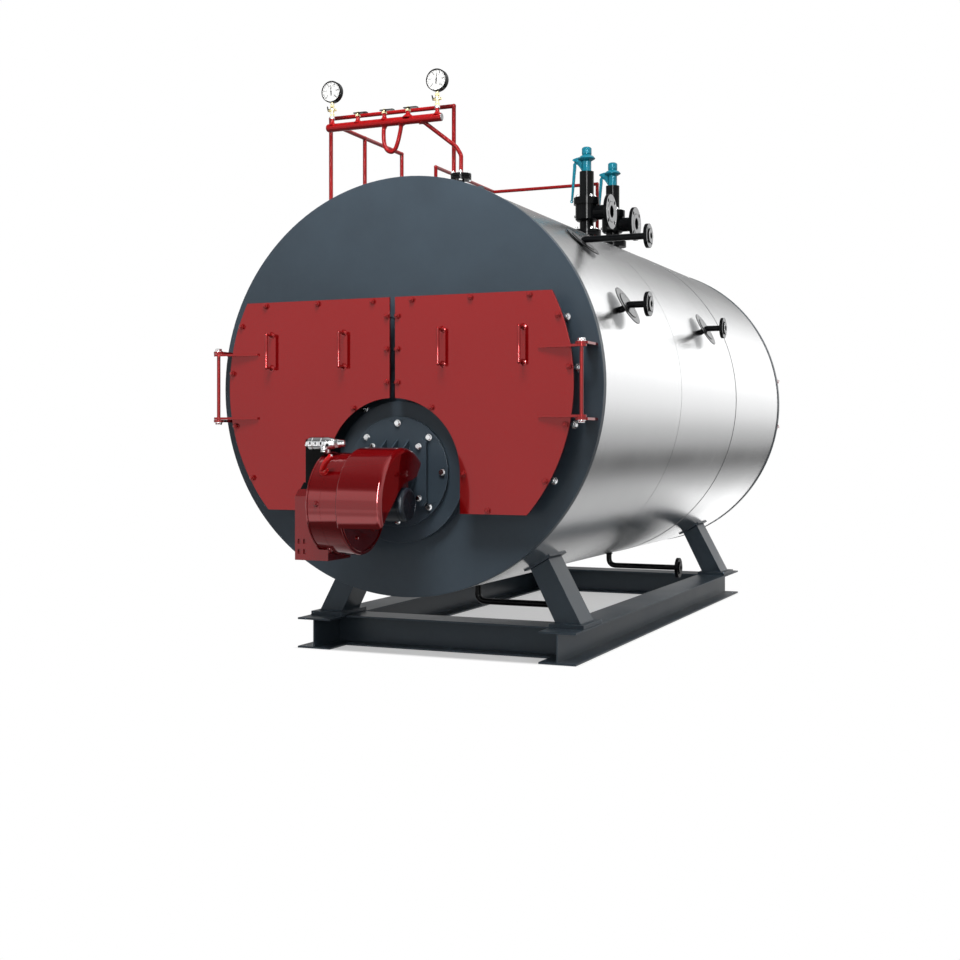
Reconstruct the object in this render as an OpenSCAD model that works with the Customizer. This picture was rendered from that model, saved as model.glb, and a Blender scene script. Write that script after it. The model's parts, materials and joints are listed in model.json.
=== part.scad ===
// Horizontal fire-tube steam boiler on a welded base frame, with two hinged
// smoke box doors, a forced-draught burner and its fittings. Millimetres.
// Origin: middle of the front cross beam's underside. +X is to the right of
// the front, +Y runs towards the rear, +Z is up.

/* [Shell] */
// Radius of the front and rear plates
plate_r = 1050; // [950:1:1150]
// Thickness of the front and rear plates
plate_t = 42; // [20:1:60]
// How far the cladding lies inside the plate edge
shell_step = 4; // [2:1:12]
// Depth of cladding, lagging and pressure shell together
shell_wall = 96; // [80:1:120]
// Length of the body between the outer faces of the plates
body_len = 4203; // [3600:1:5000]
// Height of the boiler axis above the floor
axis_h = 1393; // [1350:1:1500]
// Radial step that shows where two cladding sheets meet
seam_step = 1.5; // [1:0.1:4]
// Distance from the front plate back to the tube plate
tube_plate_set = 340; // [250:1:500]
// Thickness of the tube plate
tube_plate_t = 26; // [16:1:40]
// Outer radius of a smoke tube opening
tube_r = 28; // [20:1:34]
// Distance between smoke tube centres
tube_pitch = 112; // [100:1:150]

/* [Smoke box doors] */
// Distance from the doors' outer edge to the plate's edge
door_margin = 108; // [95:1:130]
// Height of the doors' top edge above the boiler axis
door_top = 436; // [380:1:480]
// Depth of the doors' bottom edge below the boiler axis
door_bottom = 621; // [580:1:660]
// Distance between the two doors
door_split = 30; // [24:1:40]
// How far the doors' front face stands before the front plate
door_stand = 120; // [105:1:150]
// Thickness of a door plate
door_t = 12; // [8:1:16]
// Radius of the doors' cut-out round the burner
burner_cut_r = 364; // [355:1:380]
// Depth of the burner axis below the boiler axis
burner_drop = 424; // [410:1:440]
// How far the frame lies inside the doors' edge
frame_inset = 62; // [50:1:80]
// Wall of the frame that the doors close on
frame_wall = 10; // [6:1:14]
// Running clearance between a door and its frame
door_gap = 0.3; // [0.3:0.1:1]
// Clearance between a door's lining and its frame
lining_gap = 30; // [24:1:45]
// Depth of the lining behind a door
lining_t = 72; // [40:1:85]
// Distance of the handles from the middle of the boiler
handle_x = [271, 689];
// Height of a handle's middle above the boiler axis
handle_z = 184; // [120:1:240]
// Length of a handle
handle_len = 184; // [140:1:220]
// Radius of a handle's bar
handle_r = 8; // [6:1:11]
// How far a handle's bar stands before its door
handle_stand = 52; // [44:1:60]

/* [Hinges] */
// Distance of the hinge pins from the plate's edge
hinge_margin = 59; // [50:1:64]
// Distance of the hinge pins before the front plate
hinge_stand = 148; // [144:1:156]
// Radius of a hinge pin
pin_r = 9; // [7:1:11]
// Running clearance round a hinge pin
pin_gap = 0.05; // [0.02:0.01:0.1]
// Height of the hinge's middle above the boiler axis
hinge_z = 8; // [-20:1:40]
// Distance between the two straps of a hinge
strap_span = 326; // [280:1:360]
// Thickness of straps and brackets
strap_t = 12; // [8:1:14]
// Gap between a strap and its bracket
strap_gap = 1; // [0.5:0.1:2]
// Length of a strap from its pin along the door
strap_len = 224; // [180:1:260]
// Radius of a strap's eye
eye_r = 24; // [20:1:30]
// Width of a hinge bracket
bracket_w = 60; // [50:1:70]

/* [Burner] */
// Radius of the ring that the burner plate is bolted on
ring_r = 352; // [340:1:354]
// Depth of that ring before the front plate
ring_t = 42; // [30:1:60]
// Radius of the burner plate
burner_plate_r = 273; // [265:1:290]
// Thickness of the burner plate
burner_plate_t = 18; // [12:1:24]
// Radius of the burner plate's bolt circle
burner_pcd_r = 242; // [230:1:250]
// Radius of a burner plate bolt hole
burner_bolt_r = 9; // [7:1:11]
// Side of the square casting on the burner plate
casting_w = 334; // [322:1:340]
// Distance of the fan axis before the front plate
fan_stand = 365; // [355:1:400]
// Depth of the fan axis below the boiler axis
fan_drop = 570; // [555:1:585]
// Radius of the fan housing
fan_r = 243; // [230:1:250]
// Radius of the hood over the fan housing
hood_r = 268; // [262:1:276]
// Left end of the fan housing
fan_left = -200; // [-220:1:-180]
// Left end of the hood
hood_left = -36; // [-60:1:-20]
// Right end of the hood
hood_right = 198; // [180:1:215]
// Radius of the rounded outer edge of the hood
hood_edge = 26; // [18:1:32]
// Thickness of the hood
hood_t = 10; // [6:1:14]
// Radius of the fan motor
motor_r = 80; // [72:1:88]

/* [Fittings] */
// Outer radius of the small pipes with flanges
branch_r = 17; // [14:1:20]
// Wall of the small pipes with flanges
branch_wall = 3.5; // [2.5:0.1:5]
// Outer radius of a small flange
flange_r = 62.5; // [57:0.5:70]
// Thickness of a small flange
flange_t = 26; // [20:1:30]
// Radius of a small flange's bolt circle
flange_pcd_r = 47.5; // [44:0.5:50]
// Radius of a small flange's bolt hole
flange_bolt_r = 8; // [6:0.5:9]
// Radius of the cover discs round the branches
disc_r = 108; // [95:1:125]
// Clearance between a cover disc and the turn of its branch
disc_gap = 0.3; // [0.2:0.1:1]
// Distance of the gauge header behind the front plate
header_y = 120; // [100:1:140]
// Height of the gauge header above the top of the body
header_rise = 312; // [290:1:340]
// Radius of the gauge header
header_r = 21.2; // [17:0.1:24]
// Radius of the red instrument pipes
line_r = 10.7; // [8:0.1:12]
// Radius of a pressure gauge
gauge_r = 56; // [50:1:62]
// Distance of the safety valves right of the boiler axis
safety_x = 250; // [220:1:280]
// Distance of the front safety valve behind the front plate
safety_y = 2092; // [1900:1:2200]
// Distance between the two safety valves
safety_pitch = 533; // [460:1:600]
// Outer radius of a safety valve's outlet flange
outlet_r = 110; // [100:1:115]
// Radius of the flue outlet's bore
flue_r = 150; // [120:1:165]

/* [Base] */
// Distance of the long beams from the middle
beam_x = 698.5; // [680:0.5:720]
// Width of a beam's flanges
beam_w = 200; // [180:1:220]
// Height of a beam
beam_h = 164; // [150:1:180]
// Thickness of a beam's flanges
beam_flange = 10; // [8:1:14]
// Thickness of a beam's web
beam_web = 8; // [6:1:12]
// Distance of the beams' front ends behind the front plate
beam_front = 320; // [280:1:360]
// Distance of the beams' rear ends before the rear plate
beam_rear = 274; // [240:1:320]
// Distance of the front cross beam's middle from the beam ends
cross_set = 280; // [240:1:320]
// Thickness of the plates under the legs
foot_t = 21; // [12:1:25]
// Length of a leg along the boiler
leg_len = 200; // [180:1:220]
// Thickness of the curved pads between legs and shell
saddle_t = 8; // [6:1:12]

/* [Hidden] */
$fn = 64;

shell_r = plate_r - shell_step;
door_r = plate_r - door_margin;
hinge_x = plate_r - hinge_margin;
header_z = shell_r + header_rise;
shell_inner = shell_r - shell_wall;
shell_back = body_len - plate_t;
seam_1 = plate_t + (shell_back - plate_t) / 3;
seam_2 = plate_t + (shell_back - plate_t) * 2 / 3;
frame_depth = door_stand - door_t - door_gap;
cross_front = beam_front + cross_set;
cross_back = body_len - beam_rear - cross_set;
floor_z = -axis_h;
beam_top = floor_z + beam_h;
foot_top = beam_top + foot_t;
ring_face = -ring_t;
plate_face = ring_face - burner_plate_t;

// Radius of the cladding at a distance behind the front plate
function clad_r(y) = y > seam_1 && y < seam_2 ? shell_r - seam_step : shell_r;

// Height of the cladding above the boiler axis at a distance from the middle
function clad_z(x, y) = sqrt(clad_r(y) * clad_r(y) - x * x);

// Places its children in the boiler's own frame: on the axis, at the front plate
module boiler_frame() {
    translate([0, -cross_front, axis_h]) children();
}

// A disc or bar round an axis along the boiler, from y to y + len
module lengthways(y, r, len) {
    translate([0, y + len, 0]) rotate([90, 0, 0]) cylinder(r = r, h = len, $fn = r > 300 ? 240 : 64);
}

// The room that the body takes up between y and y + len, to trim fittings with
module body_room(y, len) {
    lengthways(y, clad_r(y + len / 2), len);
}

// An outline drawn in X and Z, given a thickness from y to y + len
module upright_plate(y, len) {
    translate([0, y + len, 0]) rotate([90, 0, 0]) linear_extrude(len) children();
}

// A straight round bar between two points
module bar(a, b, r) {
    v = b - a;
    len = norm(v);
    turn = atan2(v[1], v[0]);
    lean = acos(v[2] / len);
    translate(a) rotate([0, lean, turn]) cylinder(r = r, h = len);
}

// Pipe through a list of corners, with a slightly fuller elbow at each of them
module pipe(points, r) {
    for (i = [0 : len(points) - 2]) bar(points[i], points[i + 1], r);
    if (len(points) > 2)
        for (i = [1 : len(points) - 2]) translate(points[i]) sphere(r = r * 1.1);
}

// Drilled flange with its face at the origin, lying behind it along -Z
module flange(r, t, bore, pcd_r, hole_r, holes) {
    translate([0, 0, -t]) difference() {
        cylinder(r = r, h = t);
        translate([0, 0, -1]) cylinder(r = bore, h = t + 2);
        for (i = [0 : holes - 1])
            rotate([0, 0, (i + 0.5) * 360 / holes])
                translate([pcd_r, 0, -1]) cylinder(r = hole_r, h = t + 2);
    }
}

// Outline of both doors together, drawn in X and Z, brought in by inset
module doors_outline(inset, cut) {
    difference() {
        intersection() {
            circle(r = door_r - inset, $fn = 180);
            translate([-door_r, -door_bottom + inset])
                square([2 * door_r, door_top + door_bottom - 2 * inset]);
        }
        if (cut) {
            translate([0, -burner_drop]) circle(r = burner_cut_r + inset, $fn = 120);
            translate([-burner_cut_r - inset, -door_r])
                square([2 * (burner_cut_r + inset), door_r - burner_drop]);
        }
        translate([-door_split / 2 - inset, -door_r])
            square([door_split + 2 * inset, 2 * door_r]);
    }
}

// Outline of the right or left door alone, side is 1 or -1
module door_outline(side, inset, cut = true) {
    intersection() {
        doors_outline(inset, cut);
        translate([side > 0 ? 0 : -plate_r, -plate_r]) square([plate_r, 2 * plate_r]);
    }
}

module front_plate() color("#46525c") boiler_frame() difference() {
    lengthways(0, plate_r, plate_t);
    upright_plate(-1, plate_t + 2) doors_outline(frame_inset + frame_wall, true);
    translate([0, 0, -burner_drop]) lengthways(-1, burner_plate_r - 60, plate_t + 2);
}

// Raised frame that one door closes on
module door_frame(side, depth, cut = true) difference() {
    upright_plate(-depth, depth) door_outline(side, frame_inset, cut);
    upright_plate(-depth - 1, depth + 2) door_outline(side, frame_inset + frame_wall, cut);
}

module door_frames() color("#39434c") boiler_frame()
    for (side = [-1, 1]) door_frame(side, frame_depth);

// One length of cladding with its lagging and pressure shell
module shell_length(y0, y1, r) {
    color("#c9ccce") boiler_frame() difference() {
        lengthways(y0, r, y1 - y0);
        lengthways(y0 - 1, shell_inner, y1 - y0 + 2);
    }
}

module shell_front() shell_length(plate_t, seam_1, shell_r);
module shell_middle() shell_length(seam_1, seam_2, shell_r - seam_step);
module shell_rear() shell_length(seam_2, shell_back, shell_r);

module rear_plate() color("#46525c") boiler_frame() lengthways(shell_back, plate_r, plate_t);

// True where a smoke tube shows through a door opening
function tube_fits(x, z) =
    norm([x, z]) < door_r - frame_inset - frame_wall - tube_r - 8
    && norm([x, z + burner_drop]) > burner_cut_r + frame_inset + frame_wall + tube_r + 8
    && abs(x) > door_split / 2 + frame_inset + frame_wall + tube_r
    && z < door_top - frame_inset - frame_wall - tube_r
    && z > -door_bottom + frame_inset + frame_wall + tube_r;

module tube_plate() {
    rows = ceil(door_r / tube_pitch);
    color("#5a4a42") boiler_frame() difference() {
        lengthways(tube_plate_set, shell_inner, tube_plate_t);
        for (i = [-rows : rows])
            for (j = [-rows : rows]) {
                x = (i + (abs(j) % 2) / 2) * tube_pitch;
                z = j * tube_pitch * 0.87;
                if (tube_fits(x, z)) translate([x, 0, z])
                    lengthways(tube_plate_set - 1, tube_r, tube_plate_t + 2);
            }
    }
}

module furnace_mouth() color("#5a4a42") boiler_frame() translate([0, 0, -burner_drop])
    difference() {
        lengthways(plate_t, ring_r - 30, tube_plate_set - plate_t);
        lengthways(plate_t - 1, ring_r - 46, tube_plate_set - plate_t + 2);
    }

module burner_ring() color("#2f3a42") boiler_frame() translate([0, 0, -burner_drop])
    difference() {
        lengthways(ring_face, ring_r, ring_t);
        lengthways(ring_face - 1, burner_plate_r - 60, ring_t + 2);
    }

module burner_plate() color("#3a464e") boiler_frame() translate([0, 0, -burner_drop])
    difference() {
        lengthways(plate_face, burner_plate_r, burner_plate_t);
        for (i = [0 : 7])
            rotate([0, i * 45, 0]) translate([burner_pcd_r, 0, 0])
                lengthways(plate_face - 1, burner_bolt_r, burner_plate_t + 2);
    }

module burner_casting() color("#333e46") boiler_frame() difference() {
    half = casting_w / 2;
    neck_r = casting_w * 0.355;
    corner = 20;
    translate([0, plate_face, -burner_drop]) union() {
        upright_plate(-24, 24) polygon([[-half, corner - half], [corner - half, -half],
            [half - corner, -half], [half, corner - half], [half, half - corner],
            [half - corner, half], [corner - half, half], [-half, half - corner]]);
        lengthways(-170, neck_r, 150);
        for (x = [-51, 11, 73]) translate([x, 0, 0]) rotate([90, 0, -90])
            linear_extrude(8, center = true)
                polygon([[23, 60], [23, half - 6], [100, neck_r - 8], [100, 60]]);
    }
    fan_body();
    on_fan_axis(hood_left, hood_right, hood_r);
}

// A round body along X, from left to right, on the fan's axis
module on_fan_axis(left, right, r) {
    translate([left, -fan_stand, -fan_drop]) rotate([0, 90, 0]) cylinder(r = r, h = right - left);
}

// The same with rounded edges, of radius near at the left end and far at the right end
module round_on_fan_axis(left, right, r, near, far) {
    len = right - left;
    translate([left, -fan_stand, -fan_drop]) rotate([0, 90, 0]) rotate_extrude($fn = 120) union() {
        square([r - near, len - far]);
        translate([0, near]) square([r, len - near - far]);
        square([r - far, len]);
        translate([r - near, near]) intersection() {
            circle(r = near, $fn = 64);
            translate([0, -near]) square([near, 2 * near]);
        }
        translate([r - far, len - far]) intersection() {
            circle(r = far, $fn = 64);
            translate([0, -far]) square([far, 2 * far]);
        }
    }
}

drum_right = hood_left + 6;
outlet_half = 110;

// Drum of the fan, which reaches just under the hood, with its outlet to the burner
module fan_body() union() {
    round_on_fan_axis(fan_left, drum_right, fan_r, 8, 8);
    translate([-outlet_half, -fan_stand + 95, -fan_drop + 20]) cube([2 * outlet_half, 105, 160]);
}

module fan_housing() color("#a01f26") boiler_frame() fan_body();

module fan_hood() color("#a01f26") boiler_frame() difference() {
    round_on_fan_axis(hood_left, hood_right, hood_r, 12, hood_edge);
    round_on_fan_axis(hood_left + hood_t, hood_right - hood_t, hood_r - hood_t, 2, hood_edge - hood_t);
    on_fan_axis(hood_left - 1, drum_right + hood_t, fan_r);
    translate([hood_left - 2, -fan_stand, -fan_drop]) rotate([90, 0, 90])
        linear_extrude(hood_right - hood_left + 4)
            polygon([[-330, -116], [-261, -116], [-190, -38], [-120, 22], [-82, 61], [-15, 103],
                [66, 116], [114, 130], [172, 206], [330, 330], [330, -330], [-330, -330]]);
}

module fan_motor() color("#22262a") boiler_frame() union() {
    on_fan_axis(drum_right, hood_right, motor_r);
    on_fan_axis(hood_right - 1, hood_right + 12, motor_r - 8);
}

module air_box() color("#a01f26") boiler_frame() {
    front = -490;
    back = -270;
    left = -330;
    top = -500;
    bottom = -836;
    difference() {
        upright_plate(front, back - front) polygon([[left, top], [fan_left, top],
            [fan_left, -783], [-150, -783], [-150, bottom], [left, bottom]]);
        translate([left - 1, front - 1, top - 34]) rotate([-45, 0, 0])
            translate([0, -60, 0]) cube([400, 60, 60]);
        on_fan_axis(fan_left - 1, fan_left + 60, fan_r + 0.5);
        for (x = [-306, -276])
            for (z = [-806, -758])
                translate([x - 9, front - 1, z]) cube([18, 9, 22]);
    }
}

module control_box() color("#1b1e21") boiler_frame()
    translate([-322, -406, -500]) cube([118, 136, 238]);

module gas_valve() color("#c8ccd0") boiler_frame() difference() {
    translate([0, -440, -284]) union() {
        translate([-308, 0, 0]) rotate([0, 90, 0]) cylinder(r = 32, h = 160);
        translate([-149, 0, 0]) rotate([0, 90, 0]) cylinder(r1 = 28, r2 = 15, h = 54);
        translate([-178, 0, -80]) cylinder(r = 16, h = 60);
    }
    fan_body();
}

// One door plate with its hinge straps, side is 1 or -1
module door_leaf(side, cut = true) difference() {
    union() {
        upright_plate(-door_stand, door_t) door_outline(side, 0, cut);
        for (end = [-1, 1]) strap(side, hinge_z + end * strap_span / 2);
    }
    translate([side * hinge_x, -hinge_stand, hinge_z - strap_span / 2 - strap_t - 1])
        cylinder(r = pin_r + pin_gap, h = strap_span + 2 * strap_t + 2);
}

// Strap that carries a door on its pin, centred on height z
module strap(side, z) {
    translate([side * hinge_x, 0, z - strap_t / 2]) linear_extrude(strap_t) union() {
        translate([0, -hinge_stand]) circle(r = eye_r);
        polygon([[0, -hinge_stand - eye_r + 4], [0, -hinge_stand + eye_r - 3],
            [-side * 60, -door_stand], [-side * strap_len, -door_stand],
            [-side * strap_len, -door_stand - 12], [-side * 70, -door_stand - 38]]);
    }
}

module lining(side) {
    color("#b9b3a4") boiler_frame()
        upright_plate(-door_stand + door_t, lining_t)
            door_outline(side, frame_inset + frame_wall + lining_gap);
}

module handles(side) {
    color("#8a2a2c") boiler_frame() for (x = handle_x)
        translate([side * x, -door_stand, handle_z]) {
            half = handle_len / 2 - handle_r;
            pipe([[0, 0, -half], [0, -handle_stand, -half], [0, -handle_stand, half],
                [0, 0, half]], handle_r);
        }
}

// Hinge pin in its two brackets on the plate, side is 1 or -1
module hinge(side) translate([side * hinge_x, 0, hinge_z]) {
    bracket_z = strap_span / 2 + strap_t / 2 + strap_gap;
    reach = bracket_z + strap_t;
    union() {
        for (z = [bracket_z, -reach]) translate([0, 0, z]) linear_extrude(strap_t) union() {
            translate([0, -hinge_stand]) circle(r = eye_r);
            translate([-bracket_w / 2, -hinge_stand]) square([bracket_w, hinge_stand]);
        }
        translate([0, -hinge_stand, -reach - 10]) cylinder(r = pin_r, h = 2 * reach + 20);
        translate([0, -hinge_stand, reach - 1]) cylinder(r = pin_r + 7, h = 10);
        translate([0, -hinge_stand, -reach - 9]) cylinder(r = pin_r + 7, h = 10);
    }
}

module left_door() color("#963032") boiler_frame() door_leaf(-1);
module left_lining() lining(-1);
module left_handles() handles(-1);
module left_hinge() color("#8a2a2c") boiler_frame() hinge(-1);
module right_door() color("#963032") boiler_frame() door_leaf(1);
module right_lining() lining(1);
module right_handles() handles(1);
module right_hinge() color("#8a2a2c") boiler_frame() hinge(1);

// Places its children, made for the front, on the outside of the rear plate
module at_rear() {
    boiler_frame() translate([0, body_len, 0]) mirror([0, 1, 0]) children();
}

// Rear doors: each is one piece with the frame that it is bolted shut on
module rear_doors() color("#963032") at_rear() for (side = [-1, 1]) union() {
    door_leaf(side, false);
    door_frame(side, door_stand - door_t, false);
}

module rear_hinges() color("#8a2a2c") at_rear() for (side = [-1, 1]) hinge(side);

flue_len = 150;
flue_z = (door_top + plate_r) / 2 - 3;
flue_wall = 6;
flue_flange_r = flue_r + 50;
flue_flange_t = 10;

module flue_outlet() color("#46525c") boiler_frame() translate([0, body_len + flue_len, flue_z])
    rotate([-90, 0, 0]) difference() {
        union() {
            translate([0, 0, -flue_len]) cylinder(r = flue_r + flue_wall, h = flue_len);
            flange(flue_flange_r, flue_flange_t, flue_r, flue_r + 29, 7, 12);
        }
        translate([0, 0, -flue_len - 1]) cylinder(r = flue_r, h = flue_len + 2);
    }

// Distances of the header's five upright stubs from the middle
stub_x = [-471, -320, -167, -32, 132];
header_left = -500;
header_right = 160;
stub_top = header_z + 47;

module header_tube() {
    translate([header_left, header_y, header_z]) rotate([0, 90, 0])
        cylinder(r = header_r, h = header_right - header_left);
}

module gauge_header() color("#a50d14") boiler_frame() union() {
    header_tube();
    for (x = stub_x) translate([x, header_y, header_z]) cylinder(r = line_r, h = stub_top - header_z);
    pipe([[stub_x[2], header_y, header_z], [stub_x[2] + 4, header_y, header_z - 110],
        [stub_x[2] + 42, header_y, header_z - 150], [stub_x[3] - 70, header_y, header_z - 110],
        [stub_x[3] - 34, header_y, header_z]], line_r);
}

stand_y = 260;
stand_z = header_z + 85;
stand_left = -558;
stand_right = 160;

module header_stand() color("#a50d14") boiler_frame() difference() {
    pipe([[stand_left, stand_y, clad_z(stand_left, stand_y) - 20],
        [stand_left, stand_y, stand_z], [stand_right, stand_y, stand_z],
        [stand_right, stand_y, clad_z(stand_right, stand_y) - 20]], line_r);
    body_room(stand_y - 50, 100);
}

line_x = -440;
line_rear = 865;
line_front = 420;

module instrument_line() color("#a50d14") boiler_frame() difference() {
    union() {
        pipe([[line_x, header_y, header_z + 4], [line_x, line_rear, header_z + 4],
            [line_x, line_rear, clad_z(line_x, line_rear) - 20]], line_r);
        bar([line_x, line_front, clad_z(line_x, line_front) - 20],
            [line_x, line_front, header_z + 4], line_r);
        translate([line_x, line_front, header_z + 4]) sphere(r = line_r * 1.1);
    }
    body_room(plate_t + 10, line_rear + 60);
    header_tube();
}

sample_left = -473;
sample_z = shell_r + 341;
sample_front = 1390;
sample_rear = safety_y + 208;

module sample_line() color("#a50d14") boiler_frame() difference() {
    pipe([[sample_left, sample_front, clad_z(sample_left, sample_front) - 20],
        [sample_left, sample_front, sample_z], [sample_left, sample_rear, sample_z],
        [safety_x, sample_rear, sample_z],
        [safety_x, sample_rear, clad_z(safety_x, sample_rear) - 20]], line_r);
    body_room(sample_front - 60, seam_1 - sample_front + 60);
    body_room(seam_1, sample_rear + 100 - seam_1);
}

feed_x = 218;
feed_y = 220;
pair_z = clad_z(feed_x, feed_y) + 29;
pair_t = 14;
pair_gap = 3;
pair_top = pair_z + 2 * pair_t + pair_gap;

module header_feed() color("#a50d14") boiler_frame() difference() {
    pipe([[35, header_y, header_z], [feed_x - 22, feed_y - 10, header_z - 136],
        [feed_x, feed_y, header_z - 178], [feed_x, feed_y, pair_top]], line_r);
    header_tube();
}

module feed_flanges() color("#1c1f22") boiler_frame() difference() {
    translate([feed_x, feed_y, 0]) union() {
        translate([0, 0, clad_z(feed_x, feed_y) - 30])
            cylinder(r = branch_r, h = pair_z - clad_z(feed_x, feed_y) + 31);
        translate([0, 0, pair_z]) cylinder(r = 52.5, h = pair_t);
        translate([0, 0, pair_z + pair_t - 1]) cylinder(r = 38, h = pair_gap + 2);
        translate([0, 0, pair_top - pair_t]) cylinder(r = 52.5, h = pair_t);
    }
    body_room(feed_y - 70, 140);
}

module header_cocks() color("#c9a24a") boiler_frame() {
    for (i = [1 : 3]) translate([stub_x[i], header_y, stub_top]) union() {
        cylinder(r = 14, h = 12, $fn = 6);
        translate([0, 0, 12]) cylinder(r = 5, h = 4);
        translate([-15, -14, 14]) cube([65, 28, 5]);
    }
    for (i = [0, 4]) translate([stub_x[i], header_y, stub_top]) union() {
        cylinder(r = 14, h = 26, $fn = 6);
        translate([0, 0, 26]) cylinder(r = 8, h = 30);
        translate([0, 0, 56]) cylinder(r = 11, h = 12, $fn = 6);
        translate([0, 0, 68]) cylinder(r = 6, h = 20);
        translate([-26, 0, 40]) rotate([0, 90, 0]) cylinder(r = 6, h = 40);
    }
}

gauge_z = stub_top + 139;
gauge_t = 30;

module gauges() color("#202428") boiler_frame() for (i = [0, 4])
    translate([stub_x[i], header_y, 0]) difference() {
        translate([0, gauge_t / 2, gauge_z]) rotate([90, 0, 0]) cylinder(r = gauge_r, h = gauge_t);
        translate([0, 6 - gauge_t / 2, gauge_z]) rotate([90, 0, 0]) cylinder(r = gauge_r - 4, h = 10);
        translate([0, 0, stub_top + 60]) cylinder(r = 6, h = 28);
    }

safety_base = clad_z(safety_x, safety_y) + 6;
bonnet_h = 408;
cap_top = 155;
outlet_z = safety_base + 146;

outlet_reach = 164;
outlet_bore = 38;

// Cast body, bonnet and flanges of a safety valve standing at y
module safety_valve(y) difference() {
    translate([safety_x, y, 0]) union() {
        translate([0, 0, clad_z(safety_x, y) - 60])
            cylinder(r = 44, h = safety_base + 170 - clad_z(safety_x, y));
        translate([0, 0, safety_base]) cylinder(r = 90, h = 17);
        translate([0, 0, safety_base + 19]) cylinder(r = 90, h = 19);
        translate([0, 0, safety_base + 94]) cylinder(r1 = 60, r2 = 71, h = 11);
        translate([0, 0, safety_base + 105]) cylinder(r = 71, h = 105);
        translate([0, 0, safety_base + 198]) cylinder(r = 82, h = 44);
        translate([0, 0, safety_base + 240]) cylinder(r = 45, h = bonnet_h - 240);
        translate([0, 0, outlet_z]) rotate([0, 90, 0]) cylinder(r = 46, h = outlet_reach - 1);
        translate([outlet_reach, 0, outlet_z]) rotate([0, 90, 0])
            flange(outlet_r, 20, outlet_bore, 87.5, 9, 4);
    }
    translate([safety_x, y, outlet_z]) rotate([0, 90, 0])
        cylinder(r = outlet_bore, h = outlet_reach + 10);
    body_room(y - 100, 200);
}

// Cap, lifting fork and hand lever on top of a safety valve
module safety_cap(y) translate([safety_x, y, safety_base + bonnet_h]) union() {
    cylinder(r = 29, h = 74);
    translate([0, 0, 74]) cylinder(r1 = 29, r2 = 42, h = 9);
    translate([0, 0, 82]) cylinder(r = 58, h = 10);
    translate([-84, -11, 82]) cube([60, 22, 10]);
    translate([0, 0, 90]) cylinder(r = 28, h = cap_top - 90);
    translate([-92, -8, 40]) cube([12, 16, 52]);
    bar([-86, 0, 60], [-98, 0, -176], 6);
    translate([-90, -6, 38]) cube([66, 12, 12]);
}

module safety_valves() color("#1c1f22") boiler_frame()
    for (y = [safety_y, safety_y + safety_pitch]) safety_valve(y);
module safety_caps() color("#1f97bd") boiler_frame()
    for (y = [safety_y, safety_y + safety_pitch]) safety_cap(y);

// A branch: [distance behind the front plate, angle of its root on the shell,
// slope of its first length, length of that, length of the level run,
// distance of the cover disc before the turn]
steam_run = [660, 47, 49.2, 20, 361, 12];
side_run_1 = [550, 22.4, 30, 42.4, 118, 3];
side_run_2 = [2165, 22.4, 30, 42.4, 118, 3];

// Where a branch leaves the shell, and where it turns level
function branch_root(b) = [clad_r(b[0]) * cos(b[1]), b[0], clad_r(b[0]) * sin(b[1])];
function branch_turn(b) = branch_root(b) + b[3] * [cos(b[2]), 0, sin(b[2])];

module branch(b) {
    root = branch_root(b);
    turn = branch_turn(b);
    face = turn + [b[4], 0, 0];
    difference() {
        union() {
            bar(root - 40 * [cos(b[2]), 0, sin(b[2])], turn, branch_r);
            translate(turn) sphere(r = branch_r * 1.08);
            bar(turn, face - [2, 0, 0], branch_r);
            translate(face) rotate([0, 90, 0])
                flange(flange_r, flange_t, branch_r - branch_wall, flange_pcd_r, flange_bolt_r, 4);
            translate(face - [flange_t + 12, 0, 0]) rotate([0, 90, 0]) difference() {
                cylinder(r1 = branch_r + 2, r2 = branch_r + 10, h = 12);
                translate([0, 0, -1]) cylinder(r = branch_r - branch_wall, h = 14);
            }
        }
        bar(turn, face + [1, 0, 0], branch_r - branch_wall);
        body_room(b[0] - 120, 240);
    }
}

module steam_branch() color("#17191b") boiler_frame() branch(steam_run);

module side_branches() color("#17191b") boiler_frame() {
    branch(side_run_1);
    branch(side_run_2);
}

// Thin round cover that sits on a branch between shell and elbow
module cover_disc(b) {
    middle = branch_root(b) + (b[3] - b[5]) * [cos(b[2]), 0, sin(b[2])];
    translate(middle) rotate([0, 90 - b[2], 0]) difference() {
        translate([0, 0, -2]) cylinder(r = disc_r, h = 4);
        translate([0, 0, -3]) cylinder(r = branch_r, h = 6);
        translate([0, 0, b[5]]) sphere(r = branch_r * 1.08 + disc_gap);
        translate([0, 0, b[5]]) rotate([0, b[2], 0]) cylinder(r = branch_r + disc_gap, h = 60);
    }
}

module cover_discs() color("#9b9ea0") boiler_frame() {
    cover_disc(steam_run);
    cover_disc(side_run_1);
    cover_disc(side_run_2);
}

// Drain down from the shell at x, level at height z, out to a flange at x_end
module drain(y, x, z, x_end) {
    difference() {
        union() {
            bar([x, y, 30 - clad_z(x, y)], [x, y, z], branch_r);
            translate([x, y, z]) sphere(r = branch_r * 1.08);
            bar([x, y, z], [x_end - 2, y, z], branch_r);
            translate([x_end, y, z]) rotate([0, 90, 0])
                flange(flange_r, flange_t, branch_r - branch_wall, flange_pcd_r, flange_bolt_r, 4);
        }
        bar([x, y, z], [x_end + 1, y, z], branch_r - branch_wall);
        body_room(y - 100, 200);
    }
}

// Drains: [distance behind the front plate, distance right of the middle, depth under the body]
front_drain = [790, 66, 104];
rear_drain = [2367, 308, 30];
drain_end = 87.5;

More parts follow.
